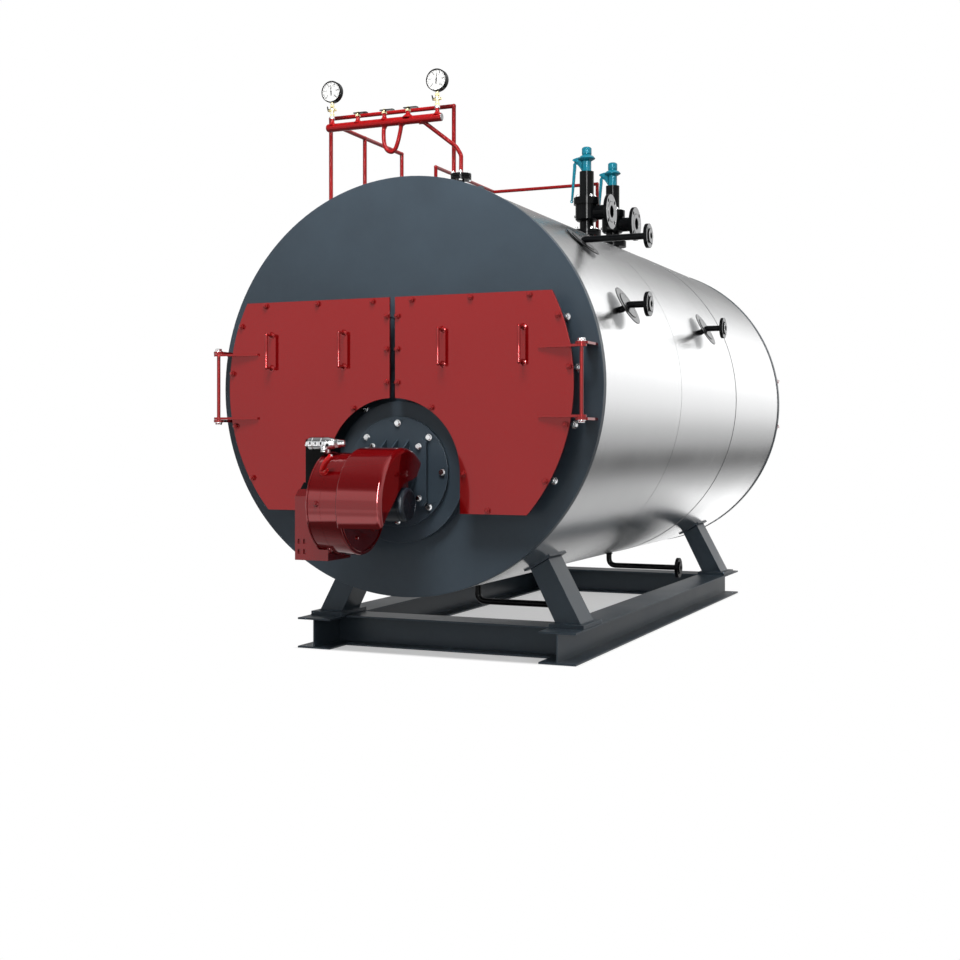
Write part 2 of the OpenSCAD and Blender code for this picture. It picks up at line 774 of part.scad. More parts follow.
module drain_pipes() color("#17191b") boiler_frame() {
    drain(front_drain[0], front_drain[1], -shell_r - front_drain[2], beam_x - beam_w / 2 - 10.5);
    drain(rear_drain[0], rear_drain[1], max(-shell_r - rear_drain[2], beam_top + flange_r + 10),
        beam_x + drain_end);
}

// Distance of the lifting lugs from the ends of the body, and their sizes
lug_set = 985;
lug_t = 18;
lug_r = 48;
eye_rise = 75;
lug_eye_r = 22;

module lifting_lugs() color("#46525c") boiler_frame()
    for (y = [lug_set, body_len - lug_set]) difference() {
        union() {
            translate([-lug_t / 2, y - lug_r - 12, shell_r - 30])
                cube([lug_t, 2 * lug_r + 24, eye_rise]);
            translate([-lug_t / 2, y, shell_r + eye_rise]) rotate([0, 90, 0])
                cylinder(r = lug_r, h = lug_t);
        }
        translate([-lug_t, y, shell_r + eye_rise]) rotate([0, 90, 0])
            cylinder(r = lug_eye_r, h = 2 * lug_t);
        body_room(y - 80, 160);
    }

// Outline of a beam, standing on y = 0 and centred on x = 0
module beam_outline() {
    translate([-beam_w / 2, 0]) square([beam_w, beam_flange]);
    translate([-beam_w / 2, beam_h - beam_flange]) square([beam_w, beam_flange]);
    translate([-beam_web / 2, 0]) square([beam_web, beam_h]);
}

module long_beams() color("#36424b") boiler_frame() for (side = [-1, 1])
    translate([side * beam_x, body_len - beam_rear, floor_z]) rotate([90, 0, 0])
        linear_extrude(body_len - beam_front - beam_rear) beam_outline();

module cross_beams() color("#36424b") boiler_frame() for (y = [cross_front, cross_back]) {
    reach = beam_x - beam_w / 2;
    web_reach = beam_x - beam_web / 2;
    union() {
        translate([-reach, y, floor_z]) rotate([90, 0, 90]) linear_extrude(2 * reach) beam_outline();
        translate([-web_reach, y - beam_web / 2, floor_z + beam_flange])
            cube([2 * web_reach, beam_web, beam_h - 2 * beam_flange]);
    }
}

module feet() color("#3c4852") boiler_frame()
    for (side = [-1, 1]) for (y = [cross_front, cross_back])
        translate([side * beam_x - 95, y - leg_len / 2 - 45, beam_top])
            cube([190, leg_len + 90, foot_t]);

// Where a leg's two edges start on its foot, and how far each leans in per unit of height
leg_in = [beam_x - 75.5, 0.5];
leg_out = [beam_x + 64.5, 0.534];
leg_reach = shell_r / 2;

// Angle from straight down at which a leg's edge meets the saddle
function meet_angle(edge) =
    let (r = shell_r + saddle_t, a = 1 + edge[1] * edge[1], b = 2 * (foot_top - edge[0] * edge[1]),
        c = edge[0] * edge[0] + foot_top * foot_top - r * r,
        h = (-b - sqrt(b * b - 4 * a * c)) / (2 * a))
    atan2(edge[0] - edge[1] * h, -foot_top - h);

module legs() color("#3c4852") boiler_frame()
    for (side = [-1, 1]) for (y = [cross_front, cross_back]) difference() {
        upright_plate(y - leg_len / 2, leg_len) polygon([[side * leg_in[0], foot_top],
            [side * leg_out[0], foot_top],
            [side * (leg_out[0] - leg_out[1] * leg_reach), foot_top + leg_reach],
            [side * (leg_in[0] - leg_in[1] * leg_reach), foot_top + leg_reach]]);
        lengthways(y - leg_len, shell_r + saddle_t, 2 * leg_len);
    }

module saddles() color("#3c4852") boiler_frame()
    for (side = [-1, 1]) for (y = [cross_front, cross_back]) {
        inner = meet_angle(leg_in) - 1.4;
        outer = meet_angle(leg_out) + 1.3;
        intersection() {
            difference() {
                lengthways(y - leg_len / 2 - 25, shell_r + saddle_t, leg_len + 50);
                lengthways(y - leg_len, shell_r, 2 * leg_len);
            }
            upright_plate(y - leg_len, 2 * leg_len) polygon([[0, 0],
                [side * 2 * shell_r * sin(inner), -2 * shell_r * cos(inner)],
                [side * 2 * shell_r * sin(outer), -2 * shell_r * cos(outer)]]);
        }
    }

front_plate();
door_frames();
shell_front();
shell_middle();
shell_rear();
rear_plate();
tube_plate();
furnace_mouth();
burner_ring();
burner_plate();
burner_casting();
fan_housing();
fan_hood();
fan_motor();
air_box();
control_box();
gas_valve();
left_door();
left_lining();
left_handles();
left_hinge();
right_door();
right_lining();
right_handles();
right_hinge();
rear_doors();
rear_hinges();
flue_outlet();
gauge_header();
header_stand();
instrument_line();
sample_line();
header_feed();
feed_flanges();
header_cocks();
gauges();
safety_valves();
safety_caps();
steam_branch();
side_branches();
cover_discs();
drain_pipes();
lifting_lugs();
long_beams();
cross_beams();
feet();
legs();
saddles();
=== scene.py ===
import json
import math
import random

import bmesh
import bpy
from mathutils import Matrix, Vector


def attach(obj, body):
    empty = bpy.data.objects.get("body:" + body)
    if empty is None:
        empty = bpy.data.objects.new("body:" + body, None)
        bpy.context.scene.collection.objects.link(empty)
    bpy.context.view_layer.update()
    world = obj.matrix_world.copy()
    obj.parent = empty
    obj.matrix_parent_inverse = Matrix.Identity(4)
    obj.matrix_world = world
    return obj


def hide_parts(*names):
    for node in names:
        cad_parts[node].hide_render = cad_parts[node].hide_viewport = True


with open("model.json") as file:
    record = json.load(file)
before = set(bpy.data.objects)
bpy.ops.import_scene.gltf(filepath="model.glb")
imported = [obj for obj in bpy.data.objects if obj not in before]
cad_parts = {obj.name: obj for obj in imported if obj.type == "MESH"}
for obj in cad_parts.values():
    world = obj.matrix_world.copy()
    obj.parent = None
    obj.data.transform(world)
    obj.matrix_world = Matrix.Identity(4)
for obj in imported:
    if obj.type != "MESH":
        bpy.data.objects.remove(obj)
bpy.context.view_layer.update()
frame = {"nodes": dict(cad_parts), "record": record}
random.seed(7)

NODES = frame["nodes"]

# Sizes of the boiler in millimetres, in its own frame: x to the right, y from the
# front plate's face to the rear, z up from the boiler axis
AXIS_H = 1393
CROSS_FRONT = 600
SHELL_R = 1046
BODY_LEN = 4203
DOOR_Y = -120
BURNER_Z = -424
FAN_Y = -365
FAN_Z = -570
MOTOR_R = 80
SEAMS = [42 + (BODY_LEN - 84) * k / 3 for k in (1, 2)]
MIDDLE_SINK = 1.5


def at(x, y, z):
    """A point of the boiler frame, in metres of the shared frame."""
    return Vector((x / 1000, (y - CROSS_FRONT) / 1000, (z + AXIS_H) / 1000))


def clad_r(y):
    """The cladding's radius: its middle length lies a little lower."""
    return SHELL_R - (MIDDLE_SINK if SEAMS[0] < y < SEAMS[1] else 0)


def clad_z(x, y):
    return math.sqrt(clad_r(y) ** 2 - x * x)


# ---- materials

def nodes_of(name):
    mat = bpy.data.materials.new(name)
    mat.use_nodes = True
    tree = mat.node_tree
    return mat, tree, tree.nodes["Principled BSDF"]


def link(tree, a, b):
    tree.links.new(a, b)


def coords(tree, kind="Object"):
    return tree.nodes.new("ShaderNodeTexCoord").outputs[kind]


def split(tree, vector):
    """The x, y and z of a vector."""
    node = tree.nodes.new("ShaderNodeSeparateXYZ")
    link(tree, vector, node.inputs[0])
    return node.outputs["X"], node.outputs["Y"], node.outputs["Z"]


def noise(tree, scale, detail=3.0, vector=None, rough=0.55):
    n = tree.nodes.new("ShaderNodeTexNoise")
    n.inputs["Scale"].default_value = scale
    n.inputs["Detail"].default_value = detail
    n.inputs["Roughness"].default_value = rough
    link(tree, vector or coords(tree), n.inputs["Vector"])
    return n.outputs["Fac"]


def spread(tree, value, lo, hi, at_lo=0.3, at_hi=0.7):
    m = tree.nodes.new("ShaderNodeMapRange")
    m.inputs["From Min"].default_value = at_lo
    m.inputs["From Max"].default_value = at_hi
    m.inputs["To Min"].default_value = lo
    m.inputs["To Max"].default_value = hi
    link(tree, value, m.inputs["Value"])
    return m.outputs["Result"]


def compute(tree, operation, *values):
    """One step of arithmetic on one or two values, each a socket or a plain number."""
    m = tree.nodes.new("ShaderNodeMath")
    m.operation = operation
    for socket, value in zip(m.inputs, values):
        if isinstance(value, (int, float)):
            socket.default_value = value
        else:
            link(tree, value, socket)
    return m.outputs[0]


def mixed(tree, fac, a, b):
    """A shader between two others."""
    m = tree.nodes.new("ShaderNodeMixShader")
    for socket, value in zip(m.inputs, (fac, a, b)):
        link(tree, value, socket)
    return m.outputs[0]


def blend(tree, fac, a, b):
    m = tree.nodes.new("ShaderNodeMix")
    m.data_type = "RGBA"
    link(tree, fac, m.inputs["Factor"])
    for socket, value in ((m.inputs[6], a), (m.inputs[7], b)):
        if isinstance(value, tuple):
            socket.default_value = (*value, 1)
        else:
            link(tree, value, socket)
    return m.outputs[2]


def bump(tree, shader, height, strength, distance):
    b = tree.nodes.new("ShaderNodeBump")
    b.inputs["Strength"].default_value = strength
    b.inputs["Distance"].default_value = distance
    link(tree, height, b.inputs["Height"])
    link(tree, b.outputs["Normal"], shader.inputs["Normal"])
    return b


def shade(color, k):
    return tuple(c * k for c in color)


def paint(name, color, rough=0.4, metal=0.0, coat=0.0, coat_rough=0.05, patch=0.12,
          peel=0.05, peel_scale=180, rough_spread=0.05, gloss=0.5):
    """Sprayed paint: faint patches, a little dust, an orange-peel surface."""
    mat, tree, shader = nodes_of(name)
    broad = noise(tree, 2.3, 4)
    fine = noise(tree, 46, 2)
    base = blend(tree, spread(tree, broad, 0, 1), shade(color, 1 - patch), shade(color, 1 + patch))
    dusty = blend(tree, spread(tree, fine, 0, 0.10, 0.45, 0.75), base,
                  tuple(c * 0.8 + 0.02 for c in color))
    link(tree, dusty, shader.inputs["Base Color"])
    link(tree, spread(tree, broad, rough - rough_spread, rough + rough_spread),
         shader.inputs["Roughness"])
    shader.inputs["Metallic"].default_value = metal
    shader.inputs["Coat Weight"].default_value = coat
    shader.inputs["Coat Roughness"].default_value = coat_rough
    shader.inputs["Specular IOR Level"].default_value = gloss
    bump(tree, shader, noise(tree, peel_scale, 2), peel, 0.002)
    return mat


def metal(name, color, rough, scale, grain=0.08):
    """Machined or cast metal with a fine grain."""
    mat, tree, shader = nodes_of(name)
    lines = noise(tree, scale, 4)
    broad = noise(tree, 5, 3)
    link(tree, blend(tree, spread(tree, lines, 0, 1), shade(color, 0.94), shade(color, 1.06)),
         shader.inputs["Base Color"])
    roughness = compute(tree, "ADD", spread(tree, lines, rough * 0.8, rough * 1.15),
                        spread(tree, broad, -0.02, 0.03))
    link(tree, roughness, shader.inputs["Roughness"])
    shader.inputs["Metallic"].default_value = 1.0
    bump(tree, shader, lines, grain, 0.0006)
    return mat


GRAIN_STRETCH = (2.5, 170, 1)


def cladding():
    """Stainless sheet, brushed round the body: the grain follows the angle about the axis."""
    mat, tree, shader = nodes_of("cladding")
    x, y, z = split(tree, coords(tree))
    wrap = tree.nodes.new("ShaderNodeCombineXYZ")
    up = compute(tree, "SUBTRACT", z, AXIS_H / 1000)
    link(tree, compute(tree, "ARCTAN2", x, up), wrap.inputs["X"])
    link(tree, y, wrap.inputs["Y"])
    stretch = tree.nodes.new("ShaderNodeMapping")
    stretch.inputs["Scale"].default_value = GRAIN_STRETCH
    link(tree, wrap.outputs[0], stretch.inputs["Vector"])
    grain = noise(tree, 1.0, 5, stretch.outputs["Vector"], 0.6)
    speck = noise(tree, 420, 2)
    broad = noise(tree, 1.7, 3)
    link(tree, blend(tree, spread(tree, grain, 0, 1), (0.76, 0.765, 0.77), (0.84, 0.845, 0.85)),
         shader.inputs["Base Color"])
    roughness = compute(tree, "ADD", spread(tree, grain, 0.17, 0.23),
                        spread(tree, broad, -0.015, 0.025))
    link(tree, roughness, shader.inputs["Roughness"])
    shader.inputs["Metallic"].default_value = 1.0
    first = bump(tree, shader, grain, 0.05, 0.0008)
    second = tree.nodes.new("ShaderNodeBump")
    second.inputs["Strength"].default_value = 0.10
    second.inputs["Distance"].default_value = 0.0005
    link(tree, speck, second.inputs["Height"])
    link(tree, second.outputs["Normal"], first.inputs["Normal"])
    return mat


def stained(name, color, dark, rough=0.75, scale=7, grain=0.35):
    """Heat-marked plate or cast lining: blotches and a rough surface."""
    mat, tree, shader = nodes_of(name)
    blotch = noise(tree, scale, 6, rough=0.65)
    link(tree, blend(tree, spread(tree, blotch, 0, 1, 0.35, 0.65), color, dark),
         shader.inputs["Base Color"])
    link(tree, spread(tree, blotch, rough - 0.1, rough + 0.1), shader.inputs["Roughness"])
    bump(tree, shader, noise(tree, 60, 5), grain, 0.003)
    return mat


RED = (0.285, 0.004, 0.005)
MATS = {
    "slate": paint("slate", (0.040, 0.056, 0.072), rough=0.36, coat=0.15, coat_rough=0.22, peel=0.03,
                   gloss=0.12),
    "cladding": cladding(),
    "door_red": paint("door_red", RED, rough=0.10, metal=0.5, coat=0.7, coat_rough=0.04, patch=0.03,
                      peel=0.012, peel_scale=120, rough_spread=0.02, gloss=0.1),
    "burner_red": paint("burner_red", (0.20, 0.002, 0.004), rough=0.10, metal=0.5, coat=0.9,
                        coat_rough=0.03, patch=0.03, peel=0.015, peel_scale=120, rough_spread=0.02,
                        gloss=0.1),
    "pipe_red": paint("pipe_red", (0.25, 0.001, 0.002), rough=0.34, coat=0.05, coat_rough=0.2,
                      patch=0.06, peel=0.03, gloss=0.25),
    "black": paint("black", (0.003, 0.0034, 0.004), rough=0.16, patch=0.1, peel=0.03, gloss=0.08),
    "hot_steel": stained("hot_steel", (0.16, 0.11, 0.08), (0.05, 0.045, 0.042)),
    "lining": stained("lining", (0.50, 0.46, 0.38), (0.34, 0.31, 0.26), rough=0.9, scale=9, grain=0.5),
    "cap_blue": paint("cap_blue", (0.004, 0.17, 0.24), rough=0.28, patch=0.05, peel=0.03, gloss=0.25),
    "brass": metal("brass", (1.0, 0.90, 0.56), rough=0.25, scale=200),
    "motor": paint("motor", (0.008, 0.012, 0.018), rough=0.4, coat=0.15, coat_rough=0.15, patch=0.1,
                   peel=0.12, gloss=0.25),
    "bare_steel": metal("bare_steel", (0.80, 0.81, 0.82), rough=0.2, scale=160),
    "disc_steel": metal("disc_steel", (0.28, 0.283, 0.287), rough=0.3, scale=120),
}
SLOTS = {row["node"]: row["material_slot"] for row in frame["record"]["subparts"]}


# ---- CAD nodes: finish, softened edges, smooth rounds

EDGE = {"front_plate": 2.0, "rear_plate": 2.0, "left_door": 1.2, "right_door": 1.2, "rear_doors": 1.2,
        "fan_hood": 2.5, "fan_housing": 5.0, "fan_motor": 4.0, "air_box": 1.5, "control_box": 4.0,
        "burner_casting": 3.0, "burner_plate": 2.5, "burner_ring": 2.5, "long_beams": 1.2,
        "cross_beams": 1.2, "legs": 3.0, "feet": 1.5, "saddles": 1.0, "safety_valves": 1.5,
        "safety_caps": 1.2, "shell_front": 0.5, "shell_middle": 0.5, "shell_rear": 0.5}


def soften(obj, width):
    """Rounds the edges of a piece. The width is in millimetres."""
    edge = obj.modifiers.new("edge", "BEVEL")
    edge.width = width / 1000
    edge.segments = 2
    edge.limit_method = "ANGLE"
    edge.angle_limit = math.radians(38)
    edge.harden_normals = True


def dress(name, obj):
    mesh = obj.data
    if "custom_normal" in mesh.attributes:
        mesh.attributes.remove(mesh.attributes["custom_normal"])
    mesh.polygons.foreach_set("use_smooth", [True] * len(mesh.polygons))
    mesh.materials.clear()
    mesh.materials.append(MATS[SLOTS[name]])
    weld = obj.modifiers.new("weld", "WELD")
    weld.merge_threshold = 0.00002
    soften(obj, EDGE.get(name, 0.8))


for node_name, node_obj in NODES.items():
    dress(node_name, node_obj)


# ---- mesh tools: local sizes are in millimetres

def place(point, axis=(0, 0, 1), spin=0.0):
    """Puts a local z axis on a point of the boiler frame, in metres."""
    turn = Vector(axis).normalized().to_track_quat("Z", "Y").to_matrix().to_4x4()
    return (Matrix.Translation(at(*point)) @ turn @ Matrix.Rotation(math.radians(spin), 4, "Z")
            @ Matrix.Scale(0.001, 4))


def revolve(bm, profile, where, n=32, ring=False):
    """Turns (radius, height) points round local z. A ring's outline closes on itself."""
    rows = []
    for r, h in profile:
        if r < 1e-6:
            rows.append([bm.verts.new(where @ Vector((0, 0, h)))])
        else:
            rows.append([bm.verts.new(where @ Vector((r * math.cos(2 * math.pi * k / n),
                                                      r * math.sin(2 * math.pi * k / n), h)))
                         for k in range(n)])
    pairs = list(zip(rows, rows[1:])) + ([(rows[-1], rows[0])] if ring else [])
    for a, b in pairs:
        for k in range(n):
            m = (k + 1) % n
            if len(a) == 1 and len(b) == 1:
                continue
            if len(a) == 1:
                bm.faces.new((a[0], b[k], b[m]))
            elif len(b) == 1:
                bm.faces.new((a[k], a[m], b[0]))
            else:
                bm.faces.new((a[k], a[m], b[m], b[k]))


def prism(bm, outline, z0, z1, where):
    """A flat outline given thickness along local z."""
    low = [bm.verts.new(where @ Vector((x, y, z0))) for x, y in outline]
    high = [bm.verts.new(where @ Vector((x, y, z1))) for x, y in outline]
    bm.faces.new(low[::-1])
    bm.faces.new(high)
    n = len(outline)
    for k in range(n):
        bm.faces.new((low[k], low[(k + 1) % n], high[(k + 1) % n], high[k]))


def sweep(bm, points, r, n=20):
    """A round tube with closed ends through points of the boiler frame. r is one radius,
    or one for each point."""
    pts = [at(*p) for p in points]
    radii = [r] * len(pts) if isinstance(r, (int, float)) else list(r)
    rows, side = [], None
    for i, p in enumerate(pts):
        ahead = (pts[min(i + 1, len(pts) - 1)] - pts[max(i - 1, 0)]).normalized()
        if side is None:
            side = ahead.orthogonal().normalized()
        side = (side - ahead * side.dot(ahead)).normalized()
        across = ahead.cross(side)
        rows.append([bm.verts.new(p + (side * math.cos(2 * math.pi * k / n)
                                       + across * math.sin(2 * math.pi * k / n)) * radii[i] / 1000)
                     for k in range(n)])
    for a, b in zip(rows, rows[1:]):
        for k in range(n):
            bm.faces.new((a[k], a[(k + 1) % n], b[(k + 1) % n], b[k]))
    bm.faces.new(rows[0][::-1])
    bm.faces.new(rows[-1])


def curve(points, steps=8):
    """Points of a smooth line through the given ones."""
    p = [Vector(q) for q in points]
    p = [p[0] * 2 - p[1]] + p + [p[-1] * 2 - p[-2]]
    out = []
    for i in range(1, len(p) - 2):
        for k in range(steps):
            t = k / steps
            out.append(0.5 * ((2 * p[i]) + (p[i + 1] - p[i - 1]) * t
                              + (2 * p[i - 1] - 5 * p[i] + 4 * p[i + 1] - p[i + 2]) * t * t
                              + (3 * p[i] - p[i - 1] - 3 * p[i + 1] + p[i + 2]) * t ** 3))
    out.append(p[-2])
    return [tuple(q) for q in out]


def bend(points, radius, steps=7):
    """A polyline whose corners are rounded to a radius."""
    p = [Vector(q) for q in points]
    out = [tuple(p[0])]
    for a, b, c in zip(p, p[1:], p[2:]):
        u, v = (a - b).normalized(), (c - b).normalized()
        half = math.acos(max(-1, min(1, u.dot(v)))) / 2
        cut = radius / math.tan(half)
        start, end = b + u * cut, b + v * cut
        for k in range(steps + 1):
            t = k / steps
            out.append(tuple(start.lerp(b, t).lerp(b.lerp(end, t), t)))
    out.append(tuple(p[-1]))
    return out


def piece(name, bm, body, slot, mat=None, edge=0.0):
    """Makes a shown piece of what was built, riding on a body."""
    bmesh.ops.recalc_face_normals(bm, faces=bm.faces)
    mesh = bpy.data.meshes.new(name)
    bm.to_mesh(mesh)
    bm.free()
    mesh.polygons.foreach_set("use_smooth", [True] * len(mesh.polygons))
    mesh.set_sharp_from_angle(angle=math.radians(35))
    obj = bpy.data.objects.new(name, mesh)
    bpy.context.scene.collection.objects.link(obj)
    mesh.materials.append(mat or MATS[slot])
    if edge:
        soften(obj, edge)
    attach(obj, body)
    return obj


# ---- fasteners

def washer(bm, where, r, t):
    revolve(bm, [(0, 0), (r, 0), (r, t * 0.75), (r - t * 0.25, t), (0, t)], where, 28)


def hexagon(bm, where, r, z0, z1):
    """A six-sided head with its corners turned off."""
    c = r * 0.10
    revolve(bm, [(0, z0), (r, z0), (r, z1 - c), (r - c, z1), (0, z1)], where, 6)
    revolve(bm, [(0, z1 - c * 0.6), (r * 0.82, z1 - c * 0.6), (r * 0.78, z1 + c * 0.25),
                 (0, z1 + c * 0.25)],
            where, 24)


def stud_end(bm, where, r, z0, z1):
    revolve(bm, [(0, z0), (r, z0), (r, z1 - r * 0.3), (r * 0.7, z1), (0, z1)], where, 18)


def nut(bm, point, axis, r=15, h=13, pad=18, stud=8, out=8, spin=0.0):
    """Washer, nut and the stud's end, standing on a surface."""
    where = place(point, axis, spin)
    washer(bm, where, pad, 3)
    hexagon(bm, where, r, 2.5, h + 3)
    stud_end(bm, where, stud, h, h + 3 + out)


def screw(bm, point, axis, r=15, h=11, pad=18, spin=0.0):
    """Washer and bolt head."""
    where = place(point, axis, spin)
    if pad:
        washer(bm, where, pad, 3)
    hexagon(bm, where, r, 2.5, h + 3)


FRONT = (0, -1, 0)

# ---- door nuts, and the studs behind them that stand on the front plate

DOOR_NUTS = [(108, 418), (419, 418), (722, 418), (866, 318), (921, 76), (903, -194), (801, -460),
             (30, 343), (30, 180), (30, 16), (214, -108), (382, -429), (509, -603)]
NUT_SPIN = [random.uniform(0, 60) for _ in DOOR_NUTS]

for body, side in (("left_door", -1), ("right_door", 1)):
    bm = bmesh.new()
    for (x, z), spin in zip(DOOR_NUTS, NUT_SPIN):
        nut(bm, (side * x, DOOR_Y, z), FRONT, r=14, h=12, pad=16.5, stud=7.5, out=7, spin=spin)
    piece(body + "_nuts", bm, body, "door_red")

bm = bmesh.new()
for side in (-1, 1):
    for (x, z), spin in zip(DOOR_NUTS, NUT_SPIN):
        where = place((side * x, 0, z), FRONT, spin)
        washer(bm, where, 19, 3)
        hexagon(bm, where, 16, 2.5, 19)
        revolve(bm, [(0, 17), (12, 17), (12, 21), (9.5, 27), (7.5, 29), (7.5, 96), (5.5, 99), (0, 99)],
                where, 20)
piece("plate_studs", bm, "boiler", "bare_steel")

# ---- hinge pins: bright heads above, nuts below

HINGE_X, HINGE_Y, HINGE_Z, PIN_REACH = 991, 148, 8, 182
bm = bmesh.new()
for side in (-1, 1):
    for y, reach, spin, pad, r, h in ((-HINGE_Y, PIN_REACH, 12, 22, 18, 15),
                                      (-HINGE_Y, -PIN_REACH, 25, 21, 17, 13),
                                      (BODY_LEN + HINGE_Y, PIN_REACH, 40, 22, 18, 15)):
        where = place((side * HINGE_X, y, HINGE_Z + reach), (0, 0, reach), spin)
        washer(bm, where, pad, 3)
        hexagon(bm, where, r, 2.5, h)
piece("hinge_pin_heads", bm, "boiler", "bare_steel")

# ---- burner plate and casting screws

bm = bmesh.new()
for k in range(8):
    a = math.radians(45 * k)
    screw(bm, (242 * math.sin(a), -60, BURNER_Z + 242 * math.cos(a)), FRONT, r=14.5, h=11, pad=17,
          spin=17 * k)
for x in (-1, 1):
    for z in (-1, 1):
        screw(bm, (x * 127, -84, BURNER_Z + z * 127), FRONT, r=13, h=12, pad=15.5, spin=30 * x + 10 * z)
piece("burner_screws", bm, "boiler", "bare_steel")

# ---- gauge header: tube with dished ends, stubs with weld fillets, siphon loop

HEADER_Y, HEADER_Z = 120, SHELL_R + 312
STUB_X = [-471, -320, -167, -32, 132]
STUB_TOP = HEADER_Z + 47
HEADER_R = 21.2
LINE_R = 10.7
FEED_FOOT = (218, 220, 1083)

bm = bmesh.new()
revolve(bm, [(0, -3), (11, -3), (17, -1), (20.4, 4), (HEADER_R, 9), (HEADER_R, 651), (20, 655),
             (0, 655)],
        place((-499, HEADER_Y, HEADER_Z), (1, 0, 0)), 44)
revolve(bm, [(21.5, 14), (22.6, 15), (23, 17), (22.6, 19), (21.5, 20), (20, 17)],
        place((-499, HEADER_Y, HEADER_Z), (1, 0, 0)), 44, ring=True)
revolve(bm, [(0, 6), (31, 12), (28, 19), (20, 26), (13, 32), (LINE_R, 40), (0, 40)],
        place((STUB_X[3], HEADER_Y, HEADER_Z)), 32)
for x in STUB_X:
    revolve(bm, [(0, 0), (24, 12), (19, 18.5), (14.5, 22.5), (11.9, 26.5), (LINE_R, 31), (LINE_R, 45),
                 (10, 47), (0, 47)],
            place((x, HEADER_Y, HEADER_Z)), 32)
loop = curve([(-167, HEADER_Y, HEADER_Z), (-171, HEADER_Y, HEADER_Z - 60),
              (-166, HEADER_Y, HEADER_Z - 112), (-149, HEADER_Y, HEADER_Z - 143),
              (-125, HEADER_Y, HEADER_Z - 153), (-105, HEADER_Y, HEADER_Z - 140),
              (-90, HEADER_Y, HEADER_Z - 106), (-77, HEADER_Y, HEADER_Z - 57),
              (-66, HEADER_Y, HEADER_Z)], 8)
sweep(bm, loop, LINE_R, 28)
for x, lean in ((-167, 0), (-66, 0.24)):
    revolve(bm, [(0, 0), (24, 12), (17, 19.5), (12.4, 25), (LINE_R, 31), (0, 31)],
            place((x, HEADER_Y, HEADER_Z), (-lean, 0, -1)), 32)
header = piece("header_pipe", bm, "boiler", "pipe_red")
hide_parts("gauge_header")

bm = bmesh.new()
revolve(bm, [(0, 0), (18.5, 0), (18, 1.6), (15, 3.2), (13.5, 2.2), (0, 2.2)],
        place((156, HEADER_Y, HEADER_Z), (1, 0, 0)), 40)
piece("header_end_plug", bm, "boiler", "disc_steel")

bm = bmesh.new()
for i in (0, 4):
    revolve(bm, [(0, 0), (13, 0), (13, 11), (11.5, 12.5), (0, 12.5)],
            place((STUB_X[i], HEADER_Y, STUB_TOP)), 32)
piece("header_collars", bm, "boiler", "bare_steel")

bm = bmesh.new()
feed = bend([(35, HEADER_Y, HEADER_Z), (196, 210, 1222), (218, 222, 1180), FEED_FOOT], 46, 10)
sweep(bm, feed, LINE_R, 28)
revolve(bm, [(9.5, -0.5), (18, 0), (15, 3.5), (12, 8), (LINE_R, 13), (9.5, 13)], place(FEED_FOOT), 32,
        ring=True)
revolve(bm, [(0, 0), (25, 12), (18, 20), (12.4, 26), (LINE_R, 32), (0, 32)],
        place((35, HEADER_Y, HEADER_Z), (161, 90, -136)), 32)
feed_pipe = piece("feed_pipe", bm, "boiler", "pipe_red")
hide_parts("header_feed")

# ---- cocks under the gauges and lever valves between them

bm = bmesh.new()
for i in (0, 4):
    w = place((STUB_X[i], HEADER_Y, STUB_TOP + 12))
    hexagon(bm, w, 14, 0, 12)
    revolve(bm, [(0, 11), (9.5, 11), (8.5, 14), (8.5, 22), (11, 26), (11, 40), (8.5, 44), (7.5, 52),
                 (0, 52)], w, 28)
    hexagon(bm, w, 13, 50, 62)
    revolve(bm, [(0, 61), (6.5, 61), (6.5, 66), (8, 67), (8, 69), (6.5, 70), (6.5, 85), (0, 85)], w, 24)
    t = place((STUB_X[i], HEADER_Y, STUB_TOP + 45), (-1, 0, 0))
    revolve(bm, [(0, -16), (6, -16), (7, -13), (7, 12), (5, 15), (5, 24), (0, 24)], t, 24)
    hexagon(bm, t, 9, 14, 21)
    revolve(bm, [(0, -16), (7, -16), (7, -22), (3, -24), (0, -24)], t, 20)
for i in (1, 2, 3):
    w = place((STUB_X[i], HEADER_Y, STUB_TOP))
    hexagon(bm, w, 14.5, 0, 11)
    revolve(bm, [(0, 10), (11, 10), (11, 12), (6, 14), (5, 19), (0, 19)], w, 24)
    hexagon(bm, w, 8, 18, 23)
cocks = piece("brass_cocks", bm, "boiler", "brass")
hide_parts("header_cocks")

bm = bmesh.new()
for i in (1, 2, 3):
    w = place((STUB_X[i], HEADER_Y, STUB_TOP + 14))
    prism(bm, [(23, -11), (18, -14), (-47, -14), (-54, -11), (-54, 11), (-47, 14), (18, 14), (23, 11)],
          0, 4.4, w)
    prism(bm, [(-20, -9), (-44, -9), (-44, 9), (-20, 9)], 4, 5.4, w)
for i in (0, 4):
    w = place((STUB_X[i] - 26, HEADER_Y, STUB_TOP + 45), (0, -1, 0), 10)
    prism(bm, [(-2, -5), (2, -5), (3, 20), (0, 24), (-3, 20)], -4, 1, w)
piece("cock_levers", bm, "boiler", "black", edge=0.8)

# ---- pressure gauges: bezel, dial, ticks, plain numbers and hand

DIAL = paint("dial", (0.62, 0.62, 0.61), rough=0.35, coat=0.4, coat_rough=0.03, patch=0.02, peel=0.01)
INK = paint("ink", (0.015, 0.015, 0.017), rough=0.5, patch=0.1, peel=0.02)


